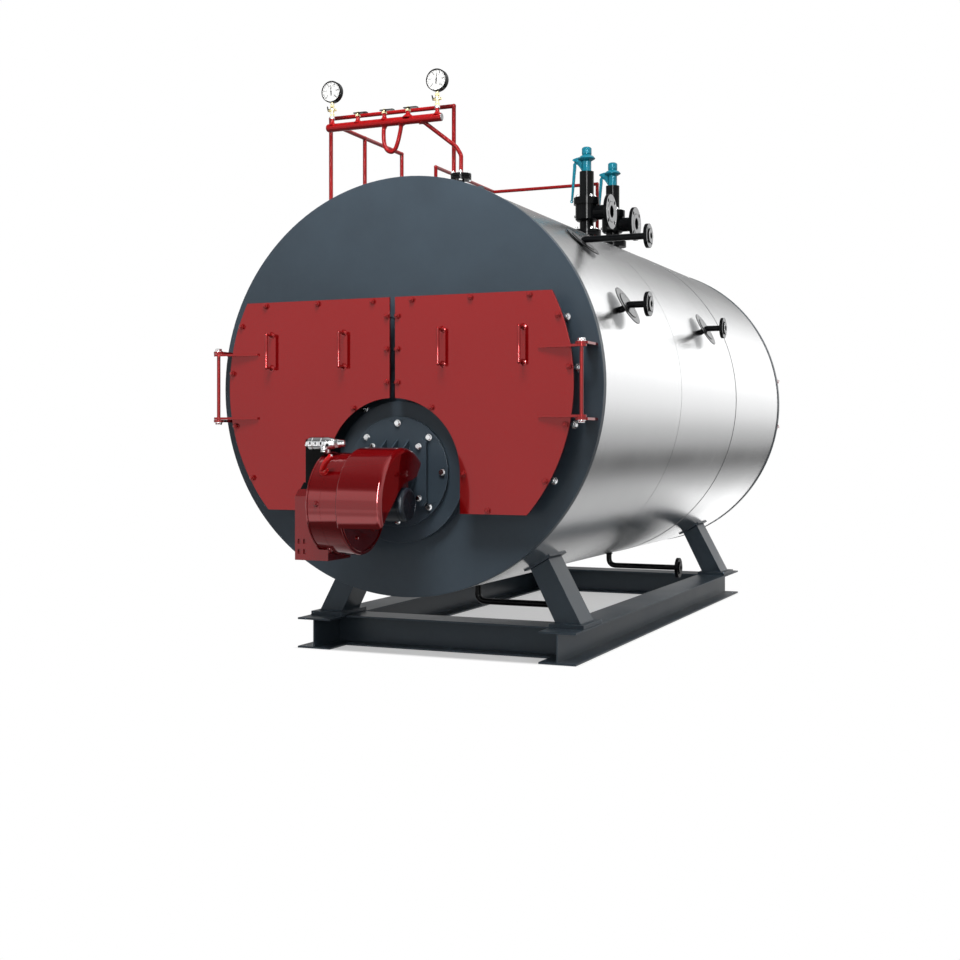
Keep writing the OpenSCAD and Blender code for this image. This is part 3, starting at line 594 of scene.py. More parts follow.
def words(bm, text, size, where):
    """Plain figures as thin solids."""
    font = bpy.data.curves.new("figures", "FONT")
    font.body = text
    font.size = size
    font.align_x = "CENTER"
    font.align_y = "CENTER"
    font.extrude = 0.15
    font.resolution_u = 2
    holder = bpy.data.objects.new("figures", font)
    bpy.context.scene.collection.objects.link(holder)
    bpy.context.view_layer.update()
    mesh = bpy.data.meshes.new_from_object(holder.evaluated_get(bpy.context.evaluated_depsgraph_get()))
    mesh.transform(where)
    bm.from_mesh(mesh)
    bpy.data.objects.remove(holder)
    bpy.data.curves.remove(font)
    bpy.data.meshes.remove(mesh)


def facing(point, tilt=90):
    """Local x to the right and local y up, seen from the front, or leaning back with less tilt."""
    return (Matrix.Translation(at(*point)) @ Matrix.Rotation(math.radians(tilt), 4, "X")
            @ Matrix.Scale(0.001, 4))


GAUGE_Z = STUB_TOP + 139
for tag, i, hand in (("left", 0, -2), ("right", 4, 3)):
    centre = (STUB_X[i], HEADER_Y - 12, GAUGE_Z)
    bm = bmesh.new()
    revolve(bm, [(51.0, -2.5), (51.0, 4), (52.0, 5.6), (54.6, 5.6), (55.8, 4), (55.8, -8), (54.8, -8.6),
                 (54.8, -2.5)],
            place(centre, FRONT), 56, ring=True)
    revolve(bm, [(0, 26), (53, 26), (54.6, 26), (55.8, 27), (55.8, 31), (54, 32.6), (0, 32.6)],
            place((STUB_X[i], HEADER_Y - 15, GAUGE_Z), (0, 1, 0)), 56)
    piece(tag + "_gauge_rim", bm, "boiler", "black")
    bm = bmesh.new()
    revolve(bm, [(0, -2.6), (51.3, -2.6), (51.3, 0.9), (0, 1.1)], place(centre, FRONT), 56)
    piece(tag + "_gauge_dial", bm, "boiler", "black", DIAL)
    bm = bmesh.new()
    w = facing((centre[0], centre[1] - 1.0, centre[2]))
    for k in range(41):
        a = math.radians(225 - k * 270 / 40)
        inner, wide = (37, 1.6) if k % 8 == 0 else ((41, 0.9) if k % 4 == 0 else (43.5, 0.5))
        c, sn = math.cos(a), math.sin(a)
        prism(bm, [(inner * c + wide * sn, inner * sn - wide * c),
                   (46.5 * c + wide * sn, 46.5 * sn - wide * c),
                   (46.5 * c - wide * sn, 46.5 * sn + wide * c),
                   (inner * c - wide * sn, inner * sn + wide * c)],
              0, 0.4, w)
    for k, figure in enumerate(("0", "4", "8", "12", "16", "20")):
        a = math.radians(225 - k * 54)
        words(bm, figure, 13, w @ Matrix.Translation((31 * math.cos(a), 31 * math.sin(a), 0.35)))
    shape = [(-2.2, -20), (2.2, -20), (3.4, -2), (2.4, 12), (0.8, 36), (-0.8, 36), (-2.4, 12),
             (-3.4, -2)]
    prism(bm, shape, 1.4, 2.2, w @ Matrix.Rotation(math.radians(-hand), 4, "Z"))
    revolve(bm, [(0, 0), (4.2, 0), (4.2, 2.6), (3.4, 3.2), (0, 3.2)], w, 24)
    piece(tag + "_gauge_hand", bm, "boiler", "black", INK)

# ---- flat shapes: a bar along a line, and a plate with round holes

def ribbon(points, widths):
    """Outline of a flat bar that follows points, with a half width at each."""
    left, right = [], []
    for i, (x, y) in enumerate(points):
        a, b = points[max(i - 1, 0)], points[min(i + 1, len(points) - 1)]
        d = math.hypot(b[0] - a[0], b[1] - a[1])
        nx, ny = (a[1] - b[1]) / d, (b[0] - a[0]) / d
        left.append((x + nx * widths[i], y + ny * widths[i]))
        right.append((x - nx * widths[i], y - ny * widths[i]))
    return left + right[::-1]


def round_loop(x, y, r, n):
    return [(x + r * math.cos(2 * math.pi * k / n),
             y + r * math.sin(2 * math.pi * k / n)) for k in range(n)]


def bolt_circle(reach, r, n):
    """Outlines of four holes on a circle."""
    turns = [math.radians(45 + 90 * k) for k in range(4)]
    return [round_loop(reach * math.cos(t), reach * math.sin(t), r, n) for t in turns]


def holed(bm, outer, holes, z0, z1, where):
    """A plate between z0 and z1 whose outline and holes are loops of points."""
    for z in (z0, z1):
        edges = []
        for loop_points in [outer] + holes:
            ring = [bm.verts.new(where @ Vector((x, y, z))) for x, y in loop_points]
            edges += [bm.edges.new((ring[k], ring[(k + 1) % len(ring)])) for k in range(len(ring))]
        bmesh.ops.triangle_fill(bm, use_beauty=True, use_dissolve=False, edges=edges)
    for loop_points in [outer] + holes:
        n = len(loop_points)
        low = [bm.verts.new(where @ Vector((x, y, z0))) for x, y in loop_points]
        high = [bm.verts.new(where @ Vector((x, y, z1))) for x, y in loop_points]
        for k in range(n):
            bm.faces.new((low[k], low[(k + 1) % n], high[(k + 1) % n], high[k]))
    bmesh.ops.remove_doubles(bm, verts=bm.verts, dist=1e-6)


def bead(bm, points, r, n=8, wobble=0.12, step=9):
    """A weld bead: a low uneven ridge along a line."""
    dense = []
    for a, b in zip(points, points[1:]):
        va, vb = Vector(a), Vector(b)
        m = max(1, int((vb - va).length / step))
        dense += [va.lerp(vb, k / m) for k in range(m)]
    dense.append(Vector(points[-1]))
    sweep(bm, [tuple(q) for q in dense], [r * (1 + wobble * (-1) ** k) for k in range(len(dense))], n)


def arc_points(cx, cz, r, a0, a1, y, n=24):
    """Points on a circle about an axis along y, angles in degrees from +x towards +z."""
    return [(cx + r * math.cos(math.radians(a0 + (a1 - a0) * k / n)), y,
             cz + r * math.sin(math.radians(a0 + (a1 - a0) * k / n))) for k in range(n + 1)]


# ---- burner: things on the drum, the motor's end, the gas valve and the air box cover

def on_drum(x, angle, rise=0.0, r=243):
    """A point on the drum, at an angle up from straight ahead."""
    a = math.radians(angle)
    return (x, FAN_Y - (r + rise) * math.cos(a), FAN_Z + (r + rise) * math.sin(a))


def off_drum(angle):
    a = math.radians(angle)
    return (0, -math.cos(a), math.sin(a))


ALONG = (1, 0, 0)
bm = bmesh.new()
drum = place((0, FAN_Y, FAN_Z), ALONG)
revolve(bm, [(242, -129.6), (243.9, -129.2), (243.9, -126.8), (242, -126.4)], drum, 120, ring=True)
revolve(bm, [(242, -200), (246.5, -200), (247.5, -199), (247.5, -194), (246.5, -193), (242, -193)],
        drum, 120, ring=True)
for k, angle in enumerate((2, 118, 238, -62)):
    w = place(on_drum(-147, angle, -3), off_drum(angle))
    revolve(bm, [(0, 0), (15, 0), (14, 5), (10.5, 8), (0, 8)], w, 24)
    screw(bm, on_drum(-147, angle, 5), off_drum(angle), r=6.5, h=5, pad=8, spin=20 * k)
piece("fan_trim", bm, "boiler", "burner_red")

LEVER_RED = paint("lever_red", (0.5, 0.001, 0.002), rough=0.3, coat=0.25, coat_rough=0.08, patch=0.04,
                  peel=0.02, gloss=0.12)
bm = bmesh.new()
w = place(on_drum(-137, 40, -4), off_drum(40))
revolve(bm, [(0, 0), (23, 0), (23, 5), (20.5, 8), (20, 12), (17, 18), (10, 22.5), (0, 24)], w, 32)
sweep(bm, [(-137, -565, -402), (-128, -568, -388), (-118, -571, -372), (-84, -578, -341),
           (-81, -578.6, -338)],
      [13, 14, 14, 13, 10], 24)
piece("fan_lever", bm, "boiler", "pipe_red", LEVER_RED)

bm = bmesh.new()
w = place((-81, -578.6, -338), (34, -7, 31))
revolve(bm, [(0, -1), (7.5, -1), (7.5, 2.5), (5, 4.5), (0, 5)], w, 20)
piece("fan_lever_tip", bm, "boiler", "bare_steel")

bm = bmesh.new()
motor = place((210, FAN_Y, FAN_Z), ALONG)
revolve(bm, [(0, -13), (MOTOR_R + 0.6, -13), (MOTOR_R, -8), (77, -1), (72, 3.5), (65, 6), (62.5, 6),
             (61.5, 3.2), (0, 3.2)],
        motor, 64)
for r in (16, 26, 36, 46, 56):
    revolve(bm, [(r - 1.6, 2.8), (r - 1.6, 5.6), (r + 1.6, 5.6), (r + 1.6, 2.8)], motor, 48, ring=True)
for k in range(6):
    c, sn = math.cos(k * math.pi / 3), math.sin(k * math.pi / 3)
    prism(bm, [(8 * c - 1.5 * sn, 8 * sn + 1.5 * c), (60 * c - 1.5 * sn, 60 * sn + 1.5 * c),
               (60 * c + 1.5 * sn, 60 * sn - 1.5 * c), (8 * c + 1.5 * sn, 8 * sn - 1.5 * c)], 2.8, 5.2,
          motor)
revolve(bm, [(0, 2.8), (10, 2.8), (10, 6), (0, 6.4)], motor, 32)
for x in (-206, -118, -30):
    revolve(bm, [(MOTOR_R - 2, x), (MOTOR_R + 1.6, x), (MOTOR_R + 1.6, x + 5), (MOTOR_R - 2, x + 5)],
            motor, 64, ring=True)
piece("motor_details", bm, "boiler", "motor")

HUB_X, INLET_BOLTS = -30, 168
bm = bmesh.new()
hub = place((HUB_X, FAN_Y, FAN_Z), ALONG)
revolve(bm, [(94, -1), (120, -1), (120, 2), (114, 8), (100, 8), (94, 3)], hub, 64, ring=True)
for k in range(6):
    t = math.radians(60 * k + 10)
    spot = (HUB_X, FAN_Y + INLET_BOLTS * math.cos(t), FAN_Z + INLET_BOLTS * math.sin(t))
    hexagon(bm, place(spot, ALONG, 25 * k), 9, 0, 9)
revolve(bm, [(222, -1), (228, -1), (228, 3), (225, 5), (222, 3)], hub, 96, ring=True)
piece("fan_inlet", bm, "boiler", "burner_red")

VALVE_Y, VALVE_Z = -440, -282
bm = bmesh.new()
g = place((-296, VALVE_Y, VALVE_Z), ALONG)
revolve(bm, [(0, 13), (15, 13.5), (24, 17), (30, 22), (31.5, 28), (31.5, 44), (29.5, 46), (29.5, 50),
             (31.8, 52), (31.8, 92), (29.5, 94), (29.5, 98), (31.5, 100), (31.5, 128), (29, 134),
             (27.5, 146), (23, 156), (18.5, 160), (18.5, 186), (16.5, 190), (16.5, 204), (14.5, 209),
             (9, 212), (0, 212)], g, 44)
hexagon(bm, g, 23, 163, 180)
for x in (-274, -245, -216, -188):
    w = place((x, VALVE_Y - 31, VALVE_Z), FRONT)
    revolve(bm, [(0, -6), (9.5, -6), (9.5, 0), (8, 1.5), (0, 1.5)], w, 24)
    hexagon(bm, w, 6, 1, 5)
w = place((-190, -452, -296), (0.1, -0.35, -0.9))
revolve(bm, [(0, 0), (17, 0), (17, 20), (14, 24), (12, 32), (0, 32)], w, 32)
hexagon(bm, w, 17.5, 23, 30)
w = place((-178, VALVE_Y, VALVE_Z - 18), (0, 0, -1))
revolve(bm, [(0, 0), (13, 0), (13, 24), (9, 30), (0, 30)], w, 32)
w = place((-297, VALVE_Y, VALVE_Z - 8), (-1, 0, 0))
revolve(bm, [(0, -14), (7, -14), (7, 3), (5, 5), (0, 5)], w, 20)
valve = piece("gas_valve_body", bm, "boiler", "bare_steel")
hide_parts("gas_valve")

bm = bmesh.new()
for x in (-259, -230, -202):
    w = place((x, VALVE_Y - 32, VALVE_Z), FRONT)
    prism(bm, [(-3, -7), (3, -7), (3, 7), (-3, 7)], -6, 1.2, w)
w = place((-166, -471, -290), FRONT)
revolve(bm, [(0, -4), (7, -4), (7, 2), (5, 3), (0, 3)], w, 20)
prism(bm, [(-322, 0), (-204, 0), (-204, 96), (-322, 96)], 0, 2.4,
      facing((0, -488.5, -538), 44.5))
for z in (-300, -340, -380, -420, -460):
    prism(bm, [(-308, z - 4), (-222, z - 4), (-222, z + 4), (-308, z + 4)], 0, 1.6, facing((0, -406, 0)))
piece("burner_black_trim", bm, "boiler", "black", edge=1.0)

# ---- safety valves: nuts, plugs, and the caps with their lifting levers

SAFETY_X = 250
SAFETY_Y = (2092, 2625)
SAFETY_BASE = clad_z(SAFETY_X, SAFETY_Y[0]) + 6

bm = bmesh.new()
for y in SAFETY_Y:
    for k in range(4):
        t = math.radians(45 + 90 * k)
        c, sn = math.cos(t), math.sin(t)
        nut(bm, (SAFETY_X + 70 * c, y + 70 * sn, SAFETY_BASE + 38), (0, 0, 1),
            r=12.5, h=10, pad=14.5, stud=7, out=6, spin=25 * k)
        nut(bm, (SAFETY_X + 64 * c, y + 64 * sn, SAFETY_BASE + 242), (0, 0, 1),
            r=11, h=9, pad=13, stud=6, out=5, spin=17 * k)
    screw(bm, (SAFETY_X - 70.5, y, SAFETY_BASE + 128), (-1, 0, 0), r=9, h=8, pad=11)
piece("safety_valve_nuts", bm, "boiler", "bare_steel")

CAP_Z = SAFETY_BASE + 408
OUTLET = (SAFETY_X + 164, SAFETY_BASE + 146)
for tag, y in (("front", SAFETY_Y[0]), ("rear", SAFETY_Y[1])):
    bm = bmesh.new()
    c = place((SAFETY_X, y, CAP_Z))
    revolve(bm, [(0, 0), (31, 0), (31, 4), (29, 7), (29, 66), (38, 71), (52, 80), (54, 83), (52, 86),
                 (41, 98), (32, 102), (28.5, 104), (28.5, 108), (31, 110), (31, 145), (27.5, 151),
                 (21, 155), (0, 155)], c, 44)
    flat = facing((SAFETY_X, y, CAP_Z))
    cheek = [(-92, 80), (-88, 72), (-68, 64), (-52, 56), (-40, 40), (-29, 14), (-29, 90), (-36, 95),
             (-60, 92), (-84, 86)]
    prism(bm, cheek, -13, -6, flat)
    prism(bm, cheek, 6, 13, flat)
    spine = [(-28, 10), (-38, 30), (-50, 48), (-64, 59), (-75, 61), (-80, 50), (-80, 31), (-83, 0),
             (-88, -60), (-93, -120), (-97, -160), (-99, -173)]
    prism(bm, ribbon(spine, [5, 6.5, 7.5, 8.5, 9.3, 10, 10, 9.4, 8.6, 7.4, 6, 5]), -5, 5, flat)
    revolve(bm, [(4, -4.5), (9, -4.5), (10, -3), (10, 3), (9, 4.5), (4, 4.5)],
            place((SAFETY_X - 100, y, CAP_Z - 181), FRONT), 24, ring=True)
    revolve(bm, [(0, -15), (6, -15), (6, 15), (0, 15)], place((SAFETY_X - 76, y, CAP_Z + 74), FRONT), 20)
    cap = piece(tag + "_safety_cap", bm, "boiler", "cap_blue", edge=0.9)
    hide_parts("safety_caps")

FACE_STEEL = metal("face_steel", (0.33, 0.333, 0.337), rough=0.45, scale=140, grain=0.05)
bm = bmesh.new()
for y in SAFETY_Y:
    w = place((OUTLET[0], y, OUTLET[1]), (1, 0, 0))
    holed(bm, round_loop(0, 0, 107, 96), bolt_circle(87.5, 13, 24) + [round_loop(0, 0, 68, 64)], 0, 0.8,
          w)
    holed(bm, round_loop(0, 0, 64, 72), [round_loop(0, 0, 38.6, 48)], 0, 2.4, w)
piece("outlet_faces", bm, "boiler", "bare_steel", FACE_STEEL)

# ---- nuts of the flanged pair on the feed pipe

PAIR_Z = clad_z(*FEED_FOOT[:2]) + 29
bm = bmesh.new()
for k in range(4):
    t = math.radians(20 + 90 * k)
    x, y = FEED_FOOT[0] + 41 * math.cos(t), FEED_FOOT[1] + 41 * math.sin(t)
    nut(bm, (x, y, PAIR_Z + 31), (0, 0, 1), r=9.5, h=8, pad=11, stud=5.5, out=5, spin=20 * k)
    hexagon(bm, place((x, y, PAIR_Z), (0, 0, -1)), 9.5, 0, 8)
    stud_end(bm, place((x, y, PAIR_Z + 13)), 5.5, 0, 6)
piece("feed_flange_nuts", bm, "boiler", "bare_steel")


# ---- branches of the cladding, with their flanges and cover discs

def branch_points(y, root_angle, slope, length, level):
    """Root, turn and end of a branch, and the way its first length goes."""
    r = clad_r(y)
    a, b = math.radians(root_angle), math.radians(slope)
    way = Vector((math.cos(b), 0, math.sin(b)))
    root = Vector((r * math.cos(a), y, r * math.sin(a)))
    turn = root + way * length
    return root, turn, turn + Vector((level, 0, 0)), way


def small_flange(bm, faces, point):
    """Plate and raised face of a small flange that looks along x, its bright faces apart."""
    w = place(point, (1, 0, 0))
    bore = round_loop(0, 0, 13.5, 32)
    holed(bm, round_loop(0, 0, 62.5, 72), bolt_circle(47.5, 8, 20) + [bore], -26, -8, w)
    holed(bm, round_loop(0, 0, 38.5, 56), [bore], -8.1, -0.6, w)
    revolve(bm, [(13.5, -42), (17, -42), (19, -38), (27, -26), (13.5, -26)], w, 40, ring=True)
    holed(faces, round_loop(0, 0, 60.5, 72), bolt_circle(47.5, 8.6, 20) + [round_loop(0, 0, 38.8, 56)],
          -8, -7.4, w)
    holed(faces, round_loop(0, 0, 37.2, 56), [round_loop(0, 0, 17.2, 32)], -0.6, 0, w)


# for each node its runs, as branch_points takes them, and how far a disc stands back from the turn
BRANCHES = (("steam_branch", ((660, 47, 49.2, 20, 361),), 12),
            ("side_branches", ((550, 22.4, 30, 42.4, 118), (2165, 22.4, 30, 42.4, 118)), 9))
faces = bmesh.new()
discs = bmesh.new()
# the next mesh holds black rings of painted shade for the steel discs' walls
edges = bmesh.new()
for node, runs, back in BRANCHES:
    bm = bmesh.new()
    for run in runs:
        root, turn, end, way = branch_points(*run)
        sweep(bm, bend([tuple(root - way * 10), tuple(turn), tuple(end - Vector((30, 0, 0)))], 24, 6),
              17, 32)
        small_flange(bm, faces, tuple(end))
        w = place(tuple(turn - way * back), tuple(way))
        revolve(discs, [(17.4, -2), (106.8, -2), (106.8, 1.8), (72.4, 1.8), (71.2, 4.6), (17.4, 4.6)],
                w, 96, ring=True)
        # painted shade: black bands on the disc's rim and on the raised plate's step, where these walls
        # lie in shadow
        revolve(edges, [(106, -2.2), (108, -1.8), (108, 1.6), (106, 2.2)], w, 96, ring=True)
        revolve(edges, [(70.6, 1.6), (73, 1.6), (72.2, 4.9), (70.2, 4.9)], w, 96, ring=True)
    pipes = piece(node + "_pipes", bm, "boiler", "black", edge=0.9)
    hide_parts(node)
cover = piece("branch_cover_discs", discs, "boiler", "disc_steel")
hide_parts("cover_discs")
# the black rings that paint shade on the cover discs' walls
piece("branch_disc_shade_rims", edges, "boiler", "black")

# ---- cladding: seams and edge trims

DARK_SEAM = paint("dark_seam", (0.22, 0.22, 0.225), rough=0.8, patch=0.1, peel=0.05, gloss=0.1)
bm = bmesh.new()
for y in SEAMS:
    w = place((0, y, 0), (0, 1, 0))
    revolve(bm, [(1043, -1.3), (1046.2, -1.3), (1046.2, 1.3), (1043, 1.3)], w, 240, ring=True)
for y, low, high in ((44, -2, 1.6), (BODY_LEN - 44, -1.6, 2)):
    revolve(bm, [(1044, low), (1047.2, low), (1047.2, high), (1044, high)], place((0, y, 0), (0, 1, 0)),
            240, ring=True)
piece("cladding_seams", bm, "boiler", "cladding", DARK_SEAM)

# ---- drains with swept elbows

bm = bmesh.new()
for y, x, z, end in ((790, 66, -1150, 588), (2367, 308, -1076, 786)):
    top = -clad_z(x, y)
    sweep(bm, bend([(x, y, top + 4), (x, y, z), (end - 30, y, z)], min(48, top - z - 3), 10), 17, 28)
    small_flange(bm, bm, (end, y, z))
    revolve(bm, [(16, -2), (25, -2), (22, 3), (18.5, 7), (16, 9)], place((x, y, top), (0, 0, -1)), 32,
            ring=True)
drains = piece("drain_lines", bm, "boiler", "black", edge=0.8)
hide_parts("drain_pipes")
piece("branch_faces", faces, "boiler", "bare_steel", FACE_STEEL)

# ---- smoke boxes: tube ends, door ropes, and what holds the rear doors shut


def door_path(side, inset, y):
    """Closed line parallel to a front door's edge."""
    r, top, low, cut_r = 942 - inset, 436 - inset, 621 - inset, 364 + inset
    inner = 15 + inset
    a0 = math.degrees(math.asin(top / r))
    a1 = -math.degrees(math.asin(low / r))
    pts = [(inner, y, top)] + arc_points(0, 0, r, a0, a1, y, 40) + [(cut_r, y, -low)]
    pts += arc_points(0, BURNER_Z, cut_r, 0, math.degrees(math.acos(inner / cut_r)), y, 24)
    pts.append(pts[0])
    return [(side * x, yy, z) for x, yy, z in pts]


ROPE = stained("rope", (0.55, 0.53, 0.48), (0.34, 0.32, 0.29), rough=0.92, scale=60, grain=0.7)
for body, side in (("left_door", -1), ("right_door", 1)):
    bm = bmesh.new()
    bead(bm, door_path(side, 87, -100.5), 7, 10, 0.06, 7)
    piece(body + "_rope", bm, body, "lining", ROPE)

PITCH = 112
FIELD_R, FURNACE_CLEAR, MIDDLE_CLEAR, FIELD_TOP, FIELD_LOW = 834, 472, 115, 336, -521
bm = bmesh.new()
for i in range(-9, 10):
    for j in range(-9, 10):
        x, z = (i + (abs(j) % 2) / 2) * PITCH, j * PITCH * 0.87
        if (math.hypot(x, z) < FIELD_R and math.hypot(x, z - BURNER_Z) > FURNACE_CLEAR
                and abs(x) > MIDDLE_CLEAR and FIELD_LOW < z < FIELD_TOP):
            revolve(bm, [(28, 0.5), (34, 0), (33, -3), (30.5, -6.5), (28, -6.5)],
                    place((x, 340, z), (0, 1, 0)), 24, ring=True)
piece("tube_ends", bm, "boiler", "hot_steel")

REAR_NUTS = [(108, 418), (419, 418), (722, 418), (866, 318), (921, 76), (903, -194), (801, -460),
             (30, 343), (30, 120), (30, -120), (30, -360), (108, -603), (330, -603), (560, -603)]
bm = bmesh.new()
for side in (-1, 1):
    for k, (x, z) in enumerate(REAR_NUTS):
        nut(bm, (side * x, BODY_LEN + 120, z), (0, 1, 0), r=14, h=12, pad=16.5, stud=7.5, out=7,
            spin=37 * k)
FLUE_Z, FLUE_BOLTS = 740, 179
for k in range(12):
    t = math.radians(15 + 30 * k)
    point = (FLUE_BOLTS * math.cos(t), BODY_LEN + 150, FLUE_Z + FLUE_BOLTS * math.sin(t))
    nut(bm, point, (0, 1, 0), r=10, h=8, pad=12, stud=6, out=6, spin=31 * k)
piece("rear_nuts", bm, "boiler", "bare_steel")

# ---- handles: round plates under their ends

for body, side in (("left_door", -1), ("right_door", 1)):
    bm = bmesh.new()
    for x in (271, 689):
        for z in (184 - 84, 184 + 84):
            w = place((side * x, DOOR_Y, z), FRONT)
            revolve(bm, [(0, 0), (17, 0), (17, 2.5), (13, 4), (10.5, 8), (8, 11), (0, 11)], w, 32)
    piece(body + "_handle_feet", bm, body, "door_red")

# ---- weld beads on the base and at the lifting eyes

LEG_X = 698.5
bm = bmesh.new()
for side in (-1, 1):
    for cross in (CROSS_FRONT, BODY_LEN - 554):
        x0, x1 = side * (LEG_X - 75.5), side * (LEG_X + 64.5)
        y0, y1 = cross - 100, cross + 100
        z = -AXIS_H + 185
        bead(bm, [(x0, y0, z), (x1, y0, z), (x1, y1, z), (x0, y1, z), (x0, y0, z)], 4.5)
        for yy in (cross - 145, cross + 145):
            bead(bm, [(side * (LEG_X - 95), yy, z - 21), (side * (LEG_X + 95), yy, z - 21)], 4)
    for y in (985, BODY_LEN - 985):
        bead(bm, [(side * 9, y - 60, SHELL_R + 1), (side * 9, y + 60, SHELL_R + 1)], 4.5)
piece("base_welds", bm, "boiler", "slate")

# ---- camera

camera = bpy.data.cameras.new("camera")
camera.sensor_width = 36
camera.lens = 51.547
camera.shift_x = -0.000865
camera.shift_y = -0.0412
camera.clip_end = 200
camera_obj = bpy.data.objects.new("camera", camera)
camera_obj.location = (3.0666, -6.7465, 1.1248)
camera_obj.rotation_euler = (math.radians(90), 0, math.radians(23.28))
bpy.context.scene.collection.objects.link(camera_obj)
bpy.context.scene.camera = camera_obj


# ---- studio: light by angle in degrees, round the axis for most of the sky and by height
# ---- for the part in front

SIDE_LIGHT = [(-180, 0.40), (-150, 0.52), (-128, 0.50), (-119, 0.44), (-112, 0.32), (-105, 0.22),
              (-97, 0.44), (-88, 0.52), (-72, 0.54), (-64, 0.51), (-59, 0.42), (-54, 0.23), (-49, 0.09),
              (-44, 0.08), (-39, 0.19), (-33, 0.46), (-26, 0.53), (-20, 0.60), (-12, 0.79), (-2, 0.97),
              (12, 1.13), (20, 1.32), (64, 1.32), (72, 1.14), (81, 0.85), (88, 0.61), (96, 0.52),
              (106, 0.42), (117, 0.25), (130, 0.27), (150, 0.50), (180, 0.40)]
FRONT_LIGHT = [(-90, 0.03), (-57, 0.04), (-53, 0.10), (-34, 0.14), (-31, 1.7), (-22, 1.7), (-18, 1.05),
               (-15, 1.0), (-12, 1.3), (-8.5, 1.3), (-7.5, 1.0), (7, 1.0), (10, 1.35), (23, 1.45),
               (27, 0.35), (31, 0.14), (50, 0.15), (57, 0.22), (75, 0.15), (90, 0.15)]

# the strip of light that the first reflection shows: strength, then middle and half width in degrees
STRIP_LIGHT = 55
STRIP_HEADING = (20.5, 4.5)
STRIP_RISE = (8, 34)
FIRST_BOUNCE = 2.5
# how much of it is left low down, and between which angles it grows
LOW_SHARE = 0.035
LOW_RISE = (4, 8)
# the share of the sky that lights rough surfaces
SOFT_SHARE = 0.42
# the floor: half size, glow inside the base, and the bands in metres where the shade ends
FLOOR_HALF = 60
FLOOR_GLOW = 0.42
SHADE_SIDE = (0.77, 0.82)
SHADE_FRONT = (-0.31, -0.25)
SHADE_REAR = (3.29, 3.35)


def ramp(tree, value, stops, lo, hi):
    node = tree.nodes.new("ShaderNodeValToRGB")
    elements = node.color_ramp.elements
    while len(elements) < len(stops):
        elements.new(1.0)
    for _ in range(2):  # the stops are sorted as they move, so the second pass finds them in order
        for element, (angle, level) in zip(elements, stops):
            element.position = (angle - lo) / (hi - lo)
            element.color = (level, level, level, 1)
    link(tree, spread(tree, value, 0, 1, math.radians(lo), math.radians(hi)), node.inputs[0])
    return node.outputs["Color"]


def studio():
    """Walls of light for reflections and soft light, and plain white for the camera."""
    world = bpy.data.worlds.new("studio")
    bpy.context.scene.world = world
    world.use_nodes = True
    tree = world.node_tree
    tree.nodes.clear()
    x, y, z = split(tree, coords(tree, "Generated"))
    path = tree.nodes.new("ShaderNodeLightPath").outputs
    rise = compute(tree, "ARCSINE", z)
    side = ramp(tree, compute(tree, "ARCTAN2", z, x), SIDE_LIGHT, -180, 180)
    front = ramp(tree, rise, FRONT_LIGHT, -90, 90)
    light = tree.nodes.new("ShaderNodeBackground")
    link(tree, blend(tree, spread(tree, y, 0, 1, -0.5, -0.1), front, side), light.inputs["Color"])
    link(tree, spread(tree, path["Is Glossy Ray"], SOFT_SHARE, 1), light.inputs["Strength"])
    white = tree.nodes.new("ShaderNodeBackground")
    white.inputs["Color"].default_value = (1, 1, 1, 1)
    shown = compute(tree, "MAXIMUM", path["Is Camera Ray"], path["Is Transmission Ray"])
    sky = mixed(tree, shown, light.outputs[0], white.outputs[0])
    heading = compute(tree, "ARCTAN2", x, compute(tree, "MULTIPLY", y, -1))
    first = compute(tree, "LESS_THAN", path["Ray Depth"], FIRST_BOUNCE)
    level = compute(tree, "MULTIPLY", compute(tree, "MULTIPLY", path["Is Glossy Ray"], first),
                    spread(tree, rise, LOW_SHARE, 1, *(math.radians(a) for a in LOW_RISE)))
    for value, (middle, half) in ((heading, STRIP_HEADING), (rise, STRIP_RISE)):
        away = compute(tree, "ABSOLUTE", compute(tree, "SUBTRACT", value, math.radians(middle)))
        level = compute(tree, "MULTIPLY", level,
                        spread(tree, away, 1, 0, math.radians(half), math.radians(half + 2)))
    strip = tree.nodes.new("ShaderNodeBackground")
    link(tree, compute(tree, "MULTIPLY", level, STRIP_LIGHT), strip.inputs["Strength"])
    both = tree.nodes.new("ShaderNodeAddShader")
    link(tree, sky, both.inputs[0])
    link(tree, strip.outputs[0], both.inputs[1])
    out = tree.nodes.new("ShaderNodeOutputWorld")
    link(tree, both.outputs[0], out.inputs[0])


studio()


def lamp(name, spot, target, size, power, size_y=None):
    data = bpy.data.lights.new(name, "AREA")
    data.shape = "RECTANGLE"
    data.size = size
    data.size_y = size_y or size
    data.energy = power
    obj = bpy.data.objects.new(name, data)
    obj.location = spot
    obj.rotation_euler = (Vector(target) - Vector(spot)).to_track_quat("-Z", "Y").to_euler()
    obj.visible_glossy = False
    bpy.context.scene.collection.objects.link(obj)


lamp("top_light", (0.5, 0.5, 7.0), (0, 1.2, 0), 7, 330, 9)
lamp("front_light", (0.5, -3.0, 5.0), (0, -0.6, 1.8), 1.6, 230)


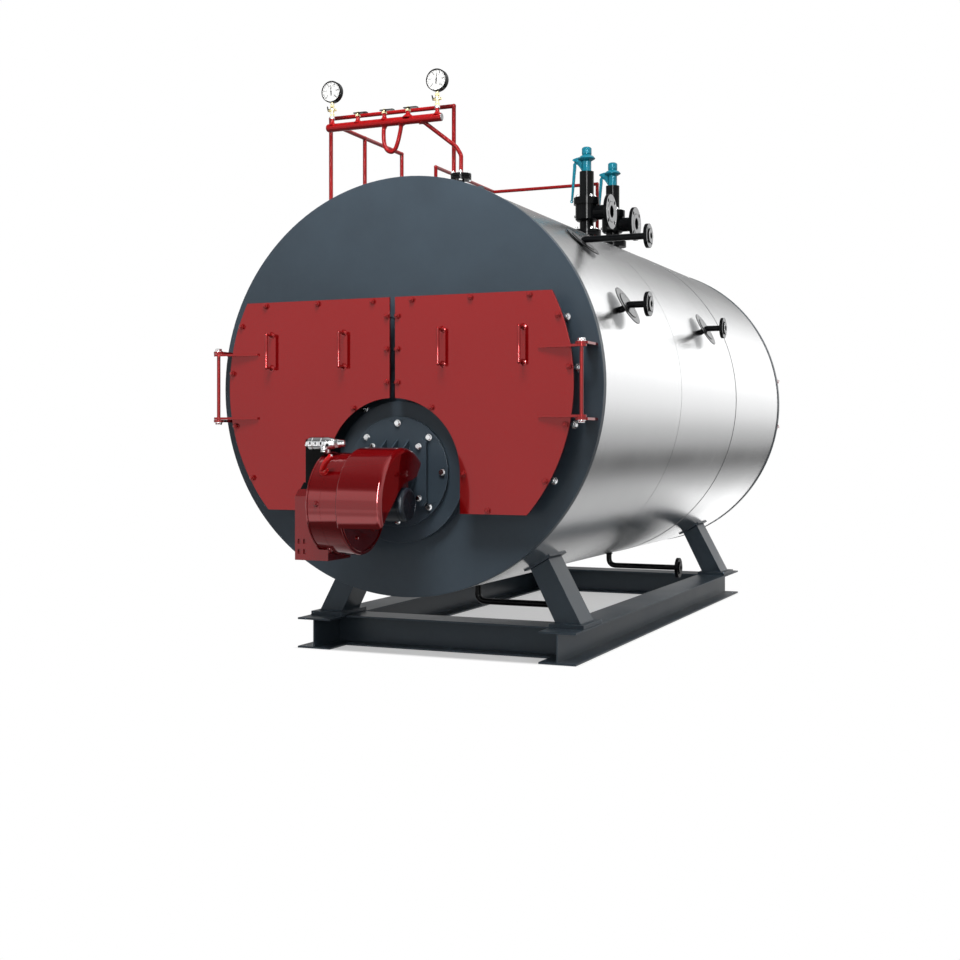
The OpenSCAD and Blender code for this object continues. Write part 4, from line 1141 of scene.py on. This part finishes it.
def floor():
    """White but for the shade inside the base. It is dim for diffuse light, and reflections
    pass through it but for one bright zone behind the boiler."""
    mesh = bpy.data.meshes.new("floor")
    s = FLOOR_HALF
    mesh.from_pydata([(-s, -s, 0), (s, -s, 0), (s, s, 0), (-s, s, 0)], [], [(0, 1, 2, 3)])
    obj = bpy.data.objects.new("floor", mesh)
    obj.location.z = -0.0005
    bpy.context.scene.collection.objects.link(obj)
    mat = bpy.data.materials.new("floor")
    mat.use_nodes = True
    tree = mat.node_tree
    tree.nodes.clear()
    path = tree.nodes.new("ShaderNodeLightPath").outputs
    x, y, _ = split(tree, coords(tree))
    diffuse = tree.nodes.new("ShaderNodeBsdfDiffuse")
    pale = blend(tree, spread(tree, noise(tree, 30, 3), 0, 1), (0.74, 0.74, 0.74), (0.78, 0.78, 0.78))
    link(tree, blend(tree, path["Is Diffuse Ray"], pale, (0.30, 0.30, 0.31)), diffuse.inputs["Color"])
    outside = spread(tree, compute(tree, "ABSOLUTE", x), 0, 1, *SHADE_SIDE)
    for edge in (spread(tree, y, 1, 0, *SHADE_FRONT), spread(tree, y, 0, 1, *SHADE_REAR)):
        outside = compute(tree, "MAXIMUM", outside, edge)
    seen = compute(tree, "MULTIPLY", spread(tree, outside, FLOOR_GLOW, 1, 0, 1), path["Is Camera Ray"])
    lit = mixed(tree, seen, diffuse.outputs[0], tree.nodes.new("ShaderNodeEmission").outputs[0])
    reach = compute(tree, "MULTIPLY", spread(tree, y, 0, 1, 4.1, 4.9), spread(tree, x, 1, 0, 0.85, 1.25))
    bright = tree.nodes.new("ShaderNodeEmission")
    bright.inputs["Strength"].default_value = 1.3
    clear = tree.nodes.new("ShaderNodeBsdfTransparent")
    mirrored = mixed(tree, reach, clear.outputs[0], bright.outputs[0])
    out = tree.nodes.new("ShaderNodeOutputMaterial")
    link(tree, mixed(tree, path["Is Glossy Ray"], lit, mirrored), out.inputs[0])
    mesh.materials.append(mat)


floor()

bpy.context.scene.view_settings.view_transform = "Standard"
